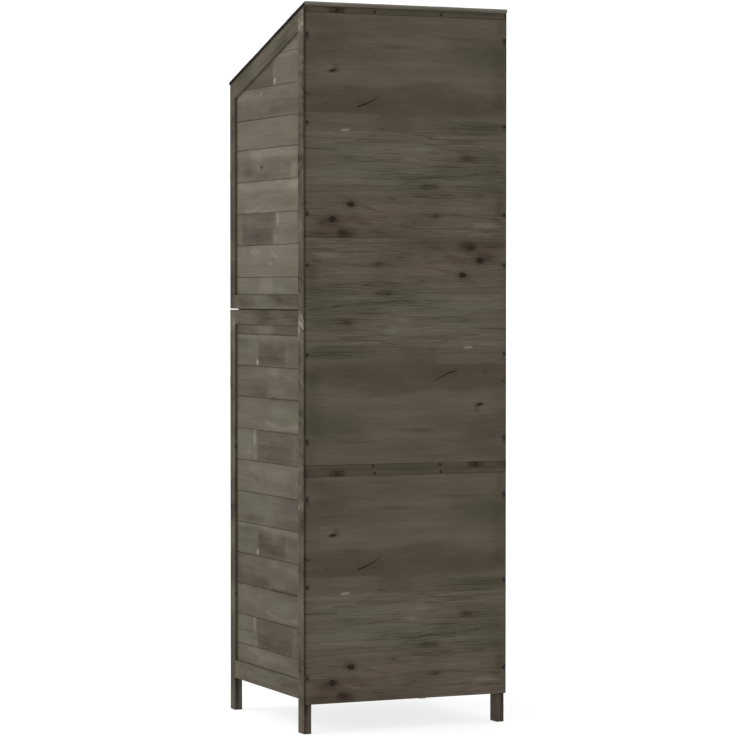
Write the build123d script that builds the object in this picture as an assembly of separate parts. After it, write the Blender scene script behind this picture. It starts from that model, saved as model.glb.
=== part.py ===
from build123d import *
import os
from math import cos, sin, tan, radians

# A tall, narrow wooden tool shed: two stacked cabinets under a single-slope roof.
# Millimetres. +Z up, front towards -Y, back towards +Y, +X is the right side seen from the front.
# Origin: on the floor, under the middle of the bounding box.

# ---------------------------------------------------------------- driving dimensions
W_FRAME = 532.0          # outside to outside of the two side frames
T_POST = 20.0            # post and rail thickness, across the shed
W_FRONT_POST = 31.0      # post width, front to back
W_REAR_POST = 36.0
Y_FRONT = -234.0         # front face of the front posts
Y_REAR = 250.0           # rear face of the rear posts
T_BACK = 10.0            # back panels
W_BACK = 533.0
Z_BACK_LOW = 71.5        # lower edge of the back
Z_BOTTOM_RAIL = (81.3, 126.7)
Z_LOW_TOP_RAIL = (975.5, 1010.8)
Z_UP_BOTTOM_RAIL = (1013.2, 1048.0)
Z_SPLIT = 1012.0         # the rear posts of the two cabinets meet here
BOARD_OUT = 259.0        # outer face of the side boards, set back 7 mm inside the frame
T_BOARD = 10.0
V_CUT = 1.6              # chamfer on the long outer edges of a board
LOW_SEAMS = (172.6, 246.9, 323.8, 401.0, 478.7, 556.4, 635.7, 713.7, 793.6, 871.3, 950.0)
UP_SEAMS = (1091.4, 1170.8, 1249.5, 1328.6, 1408.0, 1481.0, 1558.3, 1636.0)

ROOF_PITCH = 18.0        # degrees, high at the back
ROOF_TOP = 1745.0        # upper rear edge of the felt
ROOF_TOP_Y = 259.6
ROOF_FRONT_Y = -238.0
ROOF_HALF = 268.0        # half width with the felt
T_FELT = 2.0
FELT_FLAP = 7.6         # fold of the felt over the roof's edges, from its top
T_ROOF = 9.0
RAIL_DROP = 52.0         # lower edge of the sloped rail below the roof's top, measured upright

SEAM_LOW = 629.0         # joint of the lower and middle back panels
SEAM_HIGH = 1185.0       # joint of the middle and upper back panels
STRIP_LOW = 614.5        # lower edge of the lower panel's strip
STRIP_MID = 642.5        # upper edge of the middle panel's strip
STRIP_TOP = 1718.5       # lower edge of the upper panel's strip

DOOR_GAP = 3.0
T_DOOR = 18.0
W_STILE = 40.0
DOOR_BOARD_SET = 4.0     # door boards behind the door's front face
Z_FRONT_TOP_RAIL = 1530.0
AXIS_X = -244.5          # hinge axis, in front of the middle of the gap
AXIS_OFF = 4.3
HINGE_R = 4.0
PIN_R = 2.0
PIN_CLEAR = 0.05
HINGE_H = 64.0
UP_HINGES = (1121.0, 1457.0)
LOW_HINGES = (200.0, 551.0, 902.0)
KNOB_X = 223.0
UP_KNOB_Z = 1280.0
LOW_KNOB_Z = 760.0
KNOB_LEN = 29.0
BUTTON_X = 256.0
BUTTON_ABOVE = 75.0      # pivot of a turn button above its door's knob
BUTTON_W = 14.0
BUTTON_T = 8.0

# ---------------------------------------------------------------- derived
XO = W_FRAME / 2
XI = XO - T_POST
YFI = Y_FRONT + W_FRONT_POST   # inner edge of the front posts
YRI = Y_REAR - W_REAR_POST    # inner edge of the rear posts
A = radians(ROOF_PITCH)
TA = tan(A)


def z_top(y):
    return ROOF_TOP + TA * (y - ROOF_TOP_Y)


def z_under(y):
    return z_top(y) - (T_FELT + T_ROOF) / cos(A)


def z_rail(y):
    return z_top(y) - RAIL_DROP


nodes = {}


def add(name, *solids):
    nodes.setdefault(name, []).extend(solids)


def bx(x0, x1, y0, y1, z0, z1):
    x0, x1 = min(x0, x1), max(x0, x1)
    return Pos((x0 + x1) / 2, (y0 + y1) / 2, (z0 + z1) / 2) * Box(x1 - x0, y1 - y0, z1 - z0)


def yz(points, x0, x1):
    """A prism across the shed, from its outline in the side view."""
    x0, x1 = min(x0, x1), max(x0, x1)
    face = Plane.YZ.offset(x0) * make_face(Polyline(*points, close=True))
    return extrude(face, amount=x1 - x0)


def side_board(s, z0, z1):
    """A horizontal board of the side wall on side s, with its outer edges chamfered."""
    xi, xo = BOARD_OUT - T_BOARD, BOARD_OUT
    pts = [(s * xi, z0), (s * (xo - V_CUT), z0), (s * xo, z0 + V_CUT), (s * xo, z1 - V_CUT),
           (s * (xo - V_CUT), z1), (s * xi, z1)]
    face = Plane.XZ.offset(-YRI) * make_face(Polyline(*pts, close=True))
    return extrude(face, amount=YRI - YFI)


def bar(x, y, z0, z1, r):
    """An upright round bar."""
    return Pos(x, y, (z0 + z1) / 2) * Cylinder(r, z1 - z0)


def ybar(x, z, y0, y1, r):
    """A round bar that runs front to back."""
    return Pos(x, (y0 + y1) / 2, z) * Rot(90, 0, 0) * Cylinder(r, y1 - y0)


# ---------------------------------------------------------------- side walls
for s, side in ((1, "right"), (-1, "left")):
    add(f"lower_{side}_front_post", bx(s * XI, s * XO, Y_FRONT, YFI, 0, Z_LOW_TOP_RAIL[1]))
    add(f"lower_{side}_rear_post", bx(s * XI, s * XO, YRI, Y_REAR, 0, Z_SPLIT))
    add(f"lower_{side}_top_rail", bx(s * XI, s * XO, YFI, YRI, *Z_LOW_TOP_RAIL))
    add(f"lower_{side}_bottom_rail", bx(s * XI, s * XO, YFI, YRI, *Z_BOTTOM_RAIL))
    edges = (Z_BOTTOM_RAIL[1],) + LOW_SEAMS + (Z_LOW_TOP_RAIL[0],)
    for a, b in zip(edges, edges[1:]):
        add(f"lower_{side}_boards", side_board(s, a, b))

    add(f"upper_{side}_bottom_rail", bx(s * XI, s * XO, Y_FRONT, YRI, *Z_UP_BOTTOM_RAIL))
    add(f"upper_{side}_front_post", yz([(Y_FRONT, Z_UP_BOTTOM_RAIL[1]), (YFI, Z_UP_BOTTOM_RAIL[1]),
                                        (YFI, z_rail(YFI)), (Y_FRONT, z_rail(Y_FRONT))], s * XI, s * XO))
    add(f"upper_{side}_rear_post", yz([(YRI, Z_SPLIT), (Y_REAR, Z_SPLIT),
                                       (Y_REAR, z_under(Y_REAR)), (YRI, z_under(YRI))], s * XI, s * XO))
    add(f"upper_{side}_sloped_rail", yz([(Y_FRONT, z_rail(Y_FRONT)), (YRI, z_rail(YRI)),
                                         (YRI, z_under(YRI)), (Y_FRONT, z_under(Y_FRONT))], s * XI, s * XO))
    under = yz([(YFI, 1000), (YRI, 1000), (YRI, z_rail(YRI)), (YFI, z_rail(YFI))], s * 200, s * 300)
    edges = (Z_UP_BOTTOM_RAIL[1],) + UP_SEAMS + (1700.0,)
    for a, b in zip(edges, edges[1:]):
        board = side_board(s, a, b)
        if b > z_rail(YFI):
            board = board & under
        add(f"upper_{side}_boards", *board.solids())

    # upright cleats inside, against the boards and the posts' inner edges
    xc = BOARD_OUT - T_BOARD
    for z0, z1, z2 in ((128.0, 974.0, 974.0), (1049.0, 1540.0, 1668.0)):
        add("side_cleats", bx(s * (xc - 10), s * xc, YFI, YFI + 16, z0, z1))
        add("side_cleats", bx(s * (xc - 10), s * xc, YRI - 16, YRI, z0, z2))

# ---------------------------------------------------------------- back
YB = Y_REAR + T_BACK
WB = W_BACK / 2
add("lower_back_panel", bx(-WB, WB, Y_REAR, YB, Z_BACK_LOW, STRIP_LOW))
add("middle_back_panel", bx(-WB, WB, Y_REAR, YB, STRIP_MID, SEAM_HIGH))
add("upper_back_panel", bx(-WB, WB, Y_REAR, YB, SEAM_HIGH, STRIP_TOP))
add("back_edge_strips", bx(-WB, WB, Y_REAR, YB, STRIP_LOW, SEAM_LOW),
    bx(-WB, WB, Y_REAR, YB, SEAM_LOW, STRIP_MID),
    yz([(Y_REAR, STRIP_TOP), (YB, STRIP_TOP), (YB, z_under(YB)), (Y_REAR, z_under(Y_REAR))], -WB, WB))
for z0, z1 in (Z_BOTTOM_RAIL, (614.0, 650.0), (SEAM_HIGH - 18, SEAM_HIGH + 18)):
    add("rear_rails", bx(-XI, XI, Y_REAR - 20, Y_REAR, z0, z1))
add("rear_rails", yz([(Y_REAR - 20, 1684.0), (Y_REAR, 1684.0), (Y_REAR, z_under(Y_REAR)),
                      (Y_REAR - 20, z_under(Y_REAR - 20))], -XI, XI))


def back_nail(x, z):
    return ybar(x, z, YB - 24, YB, 1.0) + ybar(x, z, YB - 1.0, YB + 0.4, 2.0)


for z in (136.5, 352.0, 563.0, 700.5, 905.5, 1119.5, 1243.0, 1458.0, 1668.0):
    for x in (-262.0, 262.0):
        add("back_nails", back_nail(x, z))
for z, xs in ((SEAM_LOW - 9.0, (-90.0, 86.0)), (SEAM_LOW + 9.0, (-87.5, 89.5)), (1724.0, (-90.0, 86.0))):
    for x in xs:
        add("back_nails", back_nail(x, z))

# ---------------------------------------------------------------- front rails, floor, divider
YD = Y_FRONT + 20        # rear face of the front rails
add("front_bottom_rail", bx(-XI, XI, Y_FRONT, YD, *Z_BOTTOM_RAIL))
add("front_lower_top_rail", bx(-XI, XI, Y_FRONT, YD, *Z_LOW_TOP_RAIL))
add("front_upper_bottom_rail", bx(-XI, XI, Y_FRONT, YD, *Z_UP_BOTTOM_RAIL))
add("front_top_rail", yz([(Y_FRONT, Z_FRONT_TOP_RAIL), (YD, Z_FRONT_TOP_RAIL), (YD, z_under(YD)),
                          (Y_FRONT, z_under(Y_FRONT))], -XI, XI))

Z_FLOOR = 106.0
for x0, x1 in ((-XI, -XI + 20), (-10, 10), (XI - 20, XI)):
    add("floor_bearers", bx(x0, x1, YD, Y_REAR - 20, Z_BOTTOM_RAIL[0], Z_FLOOR))
n_floor = 6
pitch = (Y_REAR - 20 - YD) / n_floor
for i in range(n_floor):
    y0 = YD + i * pitch
    add("floor_boards", bx(-XI, XI, y0 + 0.5, y0 + pitch - 0.5, Z_FLOOR, Z_FLOOR + 10))

# thin sheet in the joint between the cabinets, on cross bearers
add("divider_panel", bx(-XO + 12, XO - 12, Y_FRONT + 26, YRI - 1, Z_LOW_TOP_RAIL[1], Z_UP_BOTTOM_RAIL[0]),
    bx(-XI + 0.2, XI - 0.2, YRI - 1, Y_REAR, Z_LOW_TOP_RAIL[1], Z_UP_BOTTOM_RAIL[0]))
for y0 in (-196.0, 0.0, 184.0):
    add("divider_bearers", bx(-XI, XI, y0, y0 + 20, 980.0, Z_LOW_TOP_RAIL[1]))

# ---------------------------------------------------------------- roof
# the roof is drawn flat, with the slope along -Y from its upper rear edge, then tilted into place
ROOF_LEN = (ROOF_TOP_Y - ROOF_FRONT_Y) / cos(A)
TILT = Pos(0, ROOF_TOP_Y, ROOF_TOP) * Rot(ROOF_PITCH, 0, 0)
n_roof = 6
run = (ROOF_LEN - T_FELT) / n_roof
xr = ROOF_HALF - T_FELT
for i in range(n_roof):
    add("roof_boards", TILT * bx(-xr, xr, -(i + 1) * run, -i * run, -T_FELT - T_ROOF, -T_FELT))
felt = bx(-ROOF_HALF, ROOF_HALF, -ROOF_LEN, 0, -FELT_FLAP, 0)
felt -= bx(-xr, xr, -ROOF_LEN + T_FELT, 5, -FELT_FLAP - 5, -T_FELT)
add("roof_felt", TILT * felt)


def felt_nail(x, y):
    return TILT * (Pos(x, y, 0.4) * Cylinder(4.0, 0.8) + Pos(x, y, -4.0) * Cylinder(1.3, 8.0))


for i in range(7):
    x = -252.0 + i * 84.0
    add("felt_nails", felt_nail(x, -14.0), felt_nail(x, -ROOF_LEN + 14.0))
for i in range(1, 6):
    y = -14.0 - i * (ROOF_LEN - 28.0) / 6
    add("felt_nails", felt_nail(-252.0, y), felt_nail(252.0, y))

# ---------------------------------------------------------------- doors
YDI = Y_FRONT + T_DOOR   # inner face of the doors
XD = XI - DOOR_GAP       # half width of a door
XS = XD - W_STILE        # inner edge of its stiles
YDB = Y_FRONT + DOOR_BOARD_SET


def door_board(z0, z1):
    pts = [(YDB + V_CUT, z0), (YDB + T_BOARD, z0), (YDB + T_BOARD, z1), (YDB + V_CUT, z1),
           (YDB, z1 - V_CUT), (YDB, z0 + V_CUT)]
    return yz(pts, -XS, XS)


def door(name, z0, z1, rails, counts):
    for sx in (-1, 1):
        add(f"{name}_door_stiles", bx(sx * XS, sx * XD, Y_FRONT, YDI, z0, z1))
    for a, b in rails:
        add(f"{name}_door_rails", bx(-XS, XS, Y_FRONT, YDI, a, b))
    for (r0, r1), n in zip(zip(rails, rails[1:]), counts):
        a, b = r0[1], r1[0]
        for i in range(n):
            add(f"{name}_door_boards", door_board(a + (b - a) * i / n, a + (b - a) * (i + 1) / n))
        for sx in (-1, 1):
            add(f"{name}_door_cleats", bx(sx * (XS - 12), sx * XS, YDB + T_BOARD, YDB + T_BOARD + 10, a + 0.5, b - 0.5))


LZ0, LZ1 = Z_BOTTOM_RAIL[1] + DOOR_GAP, Z_LOW_TOP_RAIL[0] - DOOR_GAP
UZ0, UZ1 = Z_UP_BOTTOM_RAIL[1] + DOOR_GAP, Z_FRONT_TOP_RAIL - DOOR_GAP
LM = (LZ0 + LZ1) / 2
door("lower", LZ0, LZ1, [(LZ0, LZ0 + 40), (LM - 20, LM + 20), (LZ1 - 40, LZ1)], (5, 5))
door("upper", UZ0, UZ1, [(UZ0, UZ0 + 40), (UZ1 - 40, UZ1)], (5,))

# stops behind the doors' latch edges
for z0, z1 in ((LZ0 + 4, LZ1 - 4), (UZ0 + 4, UZ1 - 4)):
    add("door_stops", bx(XI - 12, XI, YDI + 0.4, YDI + 12, z0, z1))

# ---------------------------------------------------------------- hinges
AY = Y_FRONT - AXIS_OFF
LEAF_T = 2.0
KH = 12.0                # half height of the middle knuckle, with its play


def knuckle(z0, z1, hole):
    return bar(AXIS_X, AY, z0, z1, HINGE_R) - bar(AXIS_X, AY, z0 - 1, z1 + 1, hole)


def frame_leaf(z):
    h = HINGE_H / 2
    leaf = bx(-XO + 1.5, AXIS_X - 4.4, Y_FRONT - LEAF_T, Y_FRONT, z - h, z + h)
    for a, b in ((z - h, z - KH), (z + KH, z + h)):
        leaf += bx(AXIS_X - 4.6, AXIS_X, Y_FRONT - LEAF_T, Y_FRONT, a, b)
        leaf += knuckle(a, b, PIN_R + 0.02)
    return leaf


def door_leaf(z):
    h = HINGE_H / 2
    leaf = bx(AXIS_X + 4.4, -208.0, Y_FRONT - LEAF_T, Y_FRONT, z - h, z + h)
    leaf += bx(AXIS_X, AXIS_X + 4.6, Y_FRONT - LEAF_T, Y_FRONT, z - KH + 0.3, z + KH - 0.3)
    leaf += knuckle(z - KH + 0.3, z + KH - 0.3, PIN_R + PIN_CLEAR)
    return leaf


def hinge_pin(z):
    h = HINGE_H / 2
    return bar(AXIS_X, AY, z - h - 1, z + h + 0.5, PIN_R) + bar(AXIS_X, AY, z + h + 0.3, z + h + 2.3, 3.2)


def wood_screw(x, z, y_face):
    """A screw from the front, with its head just proud of the plate."""
    return ybar(x, z, y_face - 0.5, y_face + 1.2, 2.9) + ybar(x, z, y_face, y_face + 15, 1.5)


for name, heights in (("upper", UP_HINGES), ("lower", LOW_HINGES)):
    for z in heights:
        add("hinge_frame_leaves", frame_leaf(z))
        add("hinge_pins", hinge_pin(z))
        add(f"{name}_door_hinge_leaves", door_leaf(z))
        for dz in (-22.0, 0.0, 22.0):
            add("frame_hinge_screws", wood_screw(-257.0, z + dz, Y_FRONT - LEAF_T))
            add(f"{name}_door_screws", wood_screw(-224.0, z + dz, Y_FRONT - LEAF_T))

# ---------------------------------------------------------------- knobs and turn buttons
KNOB = ((0, 0), (10.5, 0), (10.5, 2.0), (7.2, 4.5), (6.6, 11.5), (9.0, 15.8), (13.5, 19.2), (15.0, 22.4),
        (14.2, 25.4), (10.5, 28.0), (5.0, KNOB_LEN), (0, KNOB_LEN))
for name, z in (("upper", UP_KNOB_Z), ("lower", LOW_KNOB_Z)):
    face = Plane.XZ * make_face(Polyline(*KNOB, close=True))
    knob = revolve(face, Axis.Z, 360)
    add(f"{name}_door_knob", Pos(KNOB_X, Y_FRONT, z) * Rot(90, 0, 0) * knob)

    zp = z + BUTTON_ABOVE
    y0, y1 = Y_FRONT - 1.0 - BUTTON_T, Y_FRONT - 1.0
    r = BUTTON_W / 2
    button = bx(BUTTON_X - r, BUTTON_X + r, y0, y1, zp - 19, zp + 4)
    button += ybar(BUTTON_X, zp - 19, y0, y1, r)
    button += ybar(BUTTON_X, zp + 4, y0, y1, r)
    button -= ybar(BUTTON_X, zp, y0 - 1, y1 + 1, PIN_R + PIN_CLEAR)
    add(f"{name}_turn_button", button)
    add("button_pivot_screws",
        ybar(BUTTON_X, zp, y0 - 0.4, Y_FRONT + 16, PIN_R) + ybar(BUTTON_X, zp, y0 - 2.6, y0 - 0.4, 4.2))
    add("button_washers", ybar(BUTTON_X, zp, Y_FRONT - 0.7, Y_FRONT, 5.0) - ybar(BUTTON_X, zp, Y_FRONT - 2, Y_FRONT + 1, 2.3))

# ---------------------------------------------------------------- files
os.makedirs("parts", exist_ok=True)
for name, solids in nodes.items():
    flat = [q for p in solids for q in p.solids()]
    shape = flat[0] if len(flat) == 1 else Compound(flat)
    export_step(shape, f"parts/{name}.step")
print(len(nodes), "nodes", sum(len(v) for v in nodes.values()), "solids")
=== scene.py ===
import math
import bpy
import numpy as np
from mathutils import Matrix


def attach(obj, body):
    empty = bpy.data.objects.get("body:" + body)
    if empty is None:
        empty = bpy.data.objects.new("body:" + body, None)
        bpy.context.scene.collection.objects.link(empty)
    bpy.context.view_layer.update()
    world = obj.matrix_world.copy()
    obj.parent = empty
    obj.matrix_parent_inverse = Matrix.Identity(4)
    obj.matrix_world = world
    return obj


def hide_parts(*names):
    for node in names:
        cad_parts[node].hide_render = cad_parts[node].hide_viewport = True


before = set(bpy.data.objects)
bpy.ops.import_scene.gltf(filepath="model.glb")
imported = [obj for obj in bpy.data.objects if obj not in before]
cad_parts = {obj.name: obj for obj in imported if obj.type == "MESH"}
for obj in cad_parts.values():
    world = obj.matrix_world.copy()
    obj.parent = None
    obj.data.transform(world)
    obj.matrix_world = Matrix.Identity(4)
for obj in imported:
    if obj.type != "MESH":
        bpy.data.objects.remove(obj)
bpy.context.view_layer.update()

# A tall, narrow tool shed: dark stained softwood frames, boards and a sheet back under a felted roof.
# Sizes in millimetres here, turned to metres when a mesh is made. +Z up, front towards -Y.

# ---------------------------------------------------------------- sizes
XO, XI = 266.0, 246.0
YF, YR = -234.0, 250.0
YFI, YRI = -203.0, 214.0
LOW_SEAMS = (172.6, 246.9, 323.8, 401.0, 478.7, 556.4, 635.7, 713.7, 793.6, 871.3, 950.0)
UP_SEAMS = (1091.4, 1170.8, 1249.5, 1328.6, 1408.0, 1481.0, 1558.3, 1636.0)
BOARD_OUT, T_BOARD = 259.0, 10.0
HALF_BACK, HALF_ROOF = 266.5, 268.0
PITCH = math.radians(18.0)
TA = math.tan(PITCH)
ROOF_LEN = 497.6 / math.cos(PITCH)


def z_top(y):
    return 1745.0 + TA * (y - 259.6)


def z_under(y):
    return z_top(y) - 11.0 / math.cos(PITCH)


def z_rail(y):
    return z_top(y) - 52.0


# ---------------------------------------------------------------- repeatable noise
def lattice(i, j, k, seed):
    n = (i * 374761393 + j * 668265263 + k * 1442695041 + seed * 974634777) & 0xFFFFFFFF
    n = ((n ^ (n >> 13)) * 1274126177) & 0xFFFFFFFF
    n = ((n ^ (n >> 15)) * 2246822519) & 0xFFFFFFFF
    return ((n ^ (n >> 16)) & 0xFFFFF) / float(0xFFFFF) * 2.0 - 1.0


def vnoise(p, seed):
    """Smooth value noise from -1 to 1 at the points p (n, 3)."""
    f = np.floor(p)
    t = p - f
    t = t * t * (3 - 2 * t)
    i, j, k = (f[:, a].astype(np.int64) for a in range(3))
    out = np.zeros(len(p))
    for a in (0, 1):
        for b in (0, 1):
            for c in (0, 1):
                w = (t[:, 0] if a else 1 - t[:, 0]) * (t[:, 1] if b else 1 - t[:, 1]) * (t[:, 2] if c else 1 - t[:, 2])
                out += w * lattice(i + a, j + b, k + c, seed)
    return out


def rnd(seed, k=0):
    """A repeatable number from 0 to 1."""
    v = lattice(np.array([seed * 7 + 3]), np.array([k * 13 + 5]), np.array([seed + k]), 11)
    return float(v[0]) * 0.5 + 0.5


# ---------------------------------------------------------------- rounded bars
def cuts(a, b, r, step, edge, extra):
    i0, i1 = a + r, b - r
    body = list(np.linspace(i0, i1, max(1, int(round((i1 - i0) / step))) + 1))
    if i1 - i0 > 4 * edge:
        body = [i0, i0 + edge] + [p for p in body if i0 + 1.6 * edge < p < i1 - 1.6 * edge] + [i1 - edge, i1]
    for x in extra:
        if i0 + 0.4 < x < i1 - 0.4:
            body = [p for p in body if abs(p - x) > 0.45 or p in (i0, i1)] + [x]
    return np.array(sorted([a, a + 0.586 * r] + body + [b - 0.586 * r, b]))


def lattice_box(axes):
    """The surface of a box with grid lines at the given places: points and outward quads."""
    n = [len(c) for c in axes]
    idx = np.full(n, -1, dtype=np.int64)
    on = np.zeros(n, dtype=bool)
    on[0], on[-1], on[:, 0], on[:, -1], on[:, :, 0], on[:, :, -1] = True, True, True, True, True, True
    idx[on] = np.arange(on.sum())
    ii = np.argwhere(on)
    pts = np.stack([axes[a][ii[:, a]] for a in range(3)], axis=1)
    quads = []

    def face(g, flip):
        q = np.stack([g[:-1, :-1], g[1:, :-1], g[1:, 1:], g[:-1, 1:]], axis=-1).reshape(-1, 4)
        quads.append(q[:, ::-1] if flip else q)

    face(idx[-1], False)
    face(idx[0], True)
    face(idx[:, -1], True)
    face(idx[:, 0], False)
    face(idx[:, :, -1], False)
    face(idx[:, :, 0], True)
    return pts, np.concatenate(quads)


class Piece:
    """One visible piece, gathered from bars, with what its material reads stored on its points."""

    def __init__(self, name):
        self.name = name
        self.v, self.q, self.t = [], [], []
        # The grime channel holds real grime at seams and nails, and painted shade in recesses, corners and creases.
        self.at = {k: [] for k in ("gco", "tone", "hue", "edge", "grime_and_shade", "gr")}
        self.count = 0

    def raw(self, v, quads, gco, tone=0.0, hue=0.0, edge=0.0, grime_and_shade=0.0, gr=0.5):
        n = len(v)
        self.v.append(np.asarray(v, float))
        self.q.extend((np.asarray(f) + self.count).tolist() for f in quads)
        self.count += n
        self.at["gco"].append(np.asarray(gco, float))
        for k, x in (("tone", tone), ("hue", hue), ("edge", edge), ("grime_and_shade", grime_and_shade), ("gr", gr)):
            self.at[k].append(np.broadcast_to(np.asarray(x, float), (n,)).copy())

    def bar(self, lo, hi, along, seed, r=1.2, step=(16, 16, 16), edge=2.6, extra=((), (), ()), wobble=0.18,
            shape=None, paint=None, tone=0.0, hue=0.0, gr=0.5, depth=None, wear=0.45, gfix=None):
        """A bar from lo to hi. along: the axis its grain follows. shape moves its points; paint gives tone, hue, grime
        with painted shade, grain.
        """
        lo, hi = np.array(lo, float), np.array(hi, float)
        axes = [cuts(lo[a], hi[a], r, step[a], edge, extra[a]) for a in range(3)]
        p, quads = lattice_box(axes)
        n1 = vnoise(p / 34.0 + seed * 3.7, seed)
        n2 = vnoise(p / 9.0 + seed * 1.3, seed + 5)
        rr = (r * (1 + wear * (0.6 * n1 + 0.4 * n2)))[:, None]
        q = np.clip(p, lo + rr, hi - rr)
        d = p - q
        n = np.linalg.norm(d, axis=1)[:, None]
        nrm = d / np.maximum(n, 1e-9)
        v = q + rr * nrm
        on_edge = (np.abs(d) > 1e-6).sum(axis=1) >= 2
        slow = p.copy()
        slow[:, along] *= 0.25
        v -= nrm * (wobble * (0.5 - 0.5 * vnoise(slow / 30.0 + seed * 0.9, seed + 9)))[:, None]
        others = [a for a in range(3) if a != along]
        if depth is None:
            depth = min(others, key=lambda a: hi[a] - lo[a])
        across = [a for a in others if a != depth][0]
        mid = (lo + hi) / 2
        if gfix is None:
            sgn = 1 if rnd(seed, 1) > 0.5 else -1
            off = (rnd(seed, 2) * 9.0, (rnd(seed, 3) - 0.5) * 0.14, 0.02 + 0.07 * rnd(seed, 4))
            gco = np.stack([sgn * (v[:, along] - mid[along]) / 1000 + off[0], (v[:, across] - mid[across]) / 1000 + off[1],
                            (v[:, depth] - mid[depth]) / 1000 + off[2]], axis=1)
        else:
            gco = gfix(v)
        grime_and_shade = np.zeros(len(v))
        tn, hu, gg = np.full(len(v), tone), np.full(len(v), hue), np.full(len(v), gr)
        if paint:
            a, b, c, g = paint(v)
            tn, hu, grime_and_shade = tn + a, hu + b, grime_and_shade + c
            if g is not None:
                gg = g
        if shape:
            v = shape(v)
        self.raw(v, quads, gco, tn, hu, on_edge.astype(float), grime_and_shade, gg)

    def build(self, mat, body, node, slot, modifiers=()):
        v = np.concatenate(self.v) / 1000.0
        me = bpy.data.meshes.new(self.name)
        me.from_pydata(v.tolist(), [], self.q)
        for k, parts in self.at.items():
            if k == "gco":
                a = me.attributes.new(k, "FLOAT_VECTOR", "POINT")
                a.data.foreach_set("vector", np.concatenate(parts).astype(np.float32).ravel())
            else:
                a = me.attributes.new(k, "FLOAT", "POINT")
                a.data.foreach_set("value", np.concatenate(parts).astype(np.float32))
        me.polygons.foreach_set("use_smooth", [True] * len(me.polygons))
        me.update()
        ob = bpy.data.objects.new(self.name, me)
        bpy.context.scene.collection.objects.link(ob)
        me.materials.append(mat)
        for kind, values in modifiers:
            m = ob.modifiers.new(kind.lower(), kind)
            for key, val in values.items():
                setattr(m, key, val)
        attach(ob, body)
        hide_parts(*([node] if isinstance(node, str) else node))
        return ob


# ---------------------------------------------------------------- material graphs
class Graph:
    def __init__(self, name):
        self.mat = bpy.data.materials.new(name)
        self.mat.use_nodes = True
        self.nt = self.mat.node_tree
        self.nt.nodes.clear()
        self.out = self.nt.nodes.new("ShaderNodeOutputMaterial")
        self.bsdf = self.nt.nodes.new("ShaderNodeBsdfPrincipled")
        self.nt.links.new(self.bsdf.outputs[0], self.out.inputs[0])

    def new(self, kind, **kw):
        n = self.nt.nodes.new(kind)
        for k, v in kw.items():
            setattr(n, k, v)
        return n

    def put(self, sock, val):
        if isinstance(val, bpy.types.NodeSocket):
            self.nt.links.new(val, sock)
        else:
            sock.default_value = val

    def math(self, op, a, b=None, c=None, clamp=False):
        n = self.new("ShaderNodeMath", operation=op, use_clamp=clamp)
        for s, v in zip(n.inputs, (a, b, c)):
            if v is not None:
                self.put(s, v)
        return n.outputs[0]

    def add(self, *xs):
        out = xs[0]
        for x in xs[1:]:
            out = self.math("ADD", out, x)
        return out

    def mul(self, a, b):
        return self.math("MULTIPLY", a, b)

    def mad(self, a, b, c):
        return self.math("MULTIPLY_ADD", a, b, c)

    def attr(self, name, vector=False):
        n = self.new("ShaderNodeAttribute", attribute_type="GEOMETRY", attribute_name=name)
        return n.outputs["Vector" if vector else "Fac"]

    def vmad(self, v, m, a=(0, 0, 0)):
        n = self.new("ShaderNodeVectorMath", operation="MULTIPLY_ADD")
        self.put(n.inputs[0], v)
        n.inputs[1].default_value = m
        n.inputs[2].default_value = a
        return n.outputs[0]

    def noise(self, v, m, a=(0, 0, 0), detail=2.0, rough=0.5, distort=0.0):
        n = self.new("ShaderNodeTexNoise", noise_dimensions="3D")
        self.put(n.inputs["Vector"], self.vmad(v, m, a))
        n.inputs["Scale"].default_value = 1.0
        n.inputs["Detail"].default_value = detail
        n.inputs["Roughness"].default_value = rough
        n.inputs["Distortion"].default_value = distort
        return n.outputs[0]

    def span(self, x, a, b, c=0.0, d=1.0, smooth=True):
        n = self.new("ShaderNodeMapRange", interpolation_type="SMOOTHSTEP" if smooth else "LINEAR", clamp=True)
        for s, v in zip(n.inputs[:5], (x, a, b, c, d)):
            self.put(s, v)
        return n.outputs[0]

    def ramp(self, x, stops, mode="LINEAR"):
        n = self.new("ShaderNodeValToRGB")
        n.color_ramp.interpolation = mode
        el = n.color_ramp.elements
        while len(el) < len(stops):
            el.new(0.5)
        for e, (pos, col) in zip(el, stops):
            e.position = pos
            e.color = tuple(col) + (1.0,) if len(col) == 3 else col
        self.put(n.inputs[0], x)
        return n.outputs[0]

    def grey(self, x, stops, mode="LINEAR"):
        return self.ramp(x, [(p, (c, c, c)) for p, c in stops], mode)

    def mix(self, f, a, b, blend="MIX"):
        n = self.new("ShaderNodeMix", data_type="RGBA", blend_type=blend)
        self.put(n.inputs[0], f)
        for s, v in ((n.inputs[6], a), (n.inputs[7], b)):
            self.put(s, v if isinstance(v, bpy.types.NodeSocket) else tuple(v) + (1.0,))
        return n.outputs[2]

    def length(self, v, m, a):
        n = self.new("ShaderNodeVectorMath", operation="LENGTH")
        self.put(n.inputs[0], self.vmad(v, m, a))
        return n.outputs["Value"]

    def split(self, v):
        n = self.new("ShaderNodeSeparateXYZ")
        self.put(n.inputs[0], v)
        return n.outputs

    def bump(self, height, strength, distance):
        n = self.new("ShaderNodeBump")
        n.inputs["Strength"].default_value = strength
        n.inputs["Distance"].default_value = distance
        self.put(n.inputs["Height"], height)
        self.put(self.bsdf.inputs["Normal"], n.outputs[0])

    def set(self, **kw):
        names = {"color": "Base Color", "rough": "Roughness", "metal": "Metallic", "spec": "Specular IOR Level"}
        for k, v in kw.items():
            s = self.bsdf.inputs[names[k]]
            self.put(s, tuple(v) + (1.0,) if isinstance(v, tuple) else v)


STAIN = [(0.0, (0.0105, 0.0074, 0.0046)), (0.25, (0.0342, 0.0266, 0.0184)), (0.5, (0.0720, 0.0594, 0.0428)),
         (0.75, (0.1120, 0.0950, 0.0723)), (1.0, (0.1750, 0.1550, 0.1260))]


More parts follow.
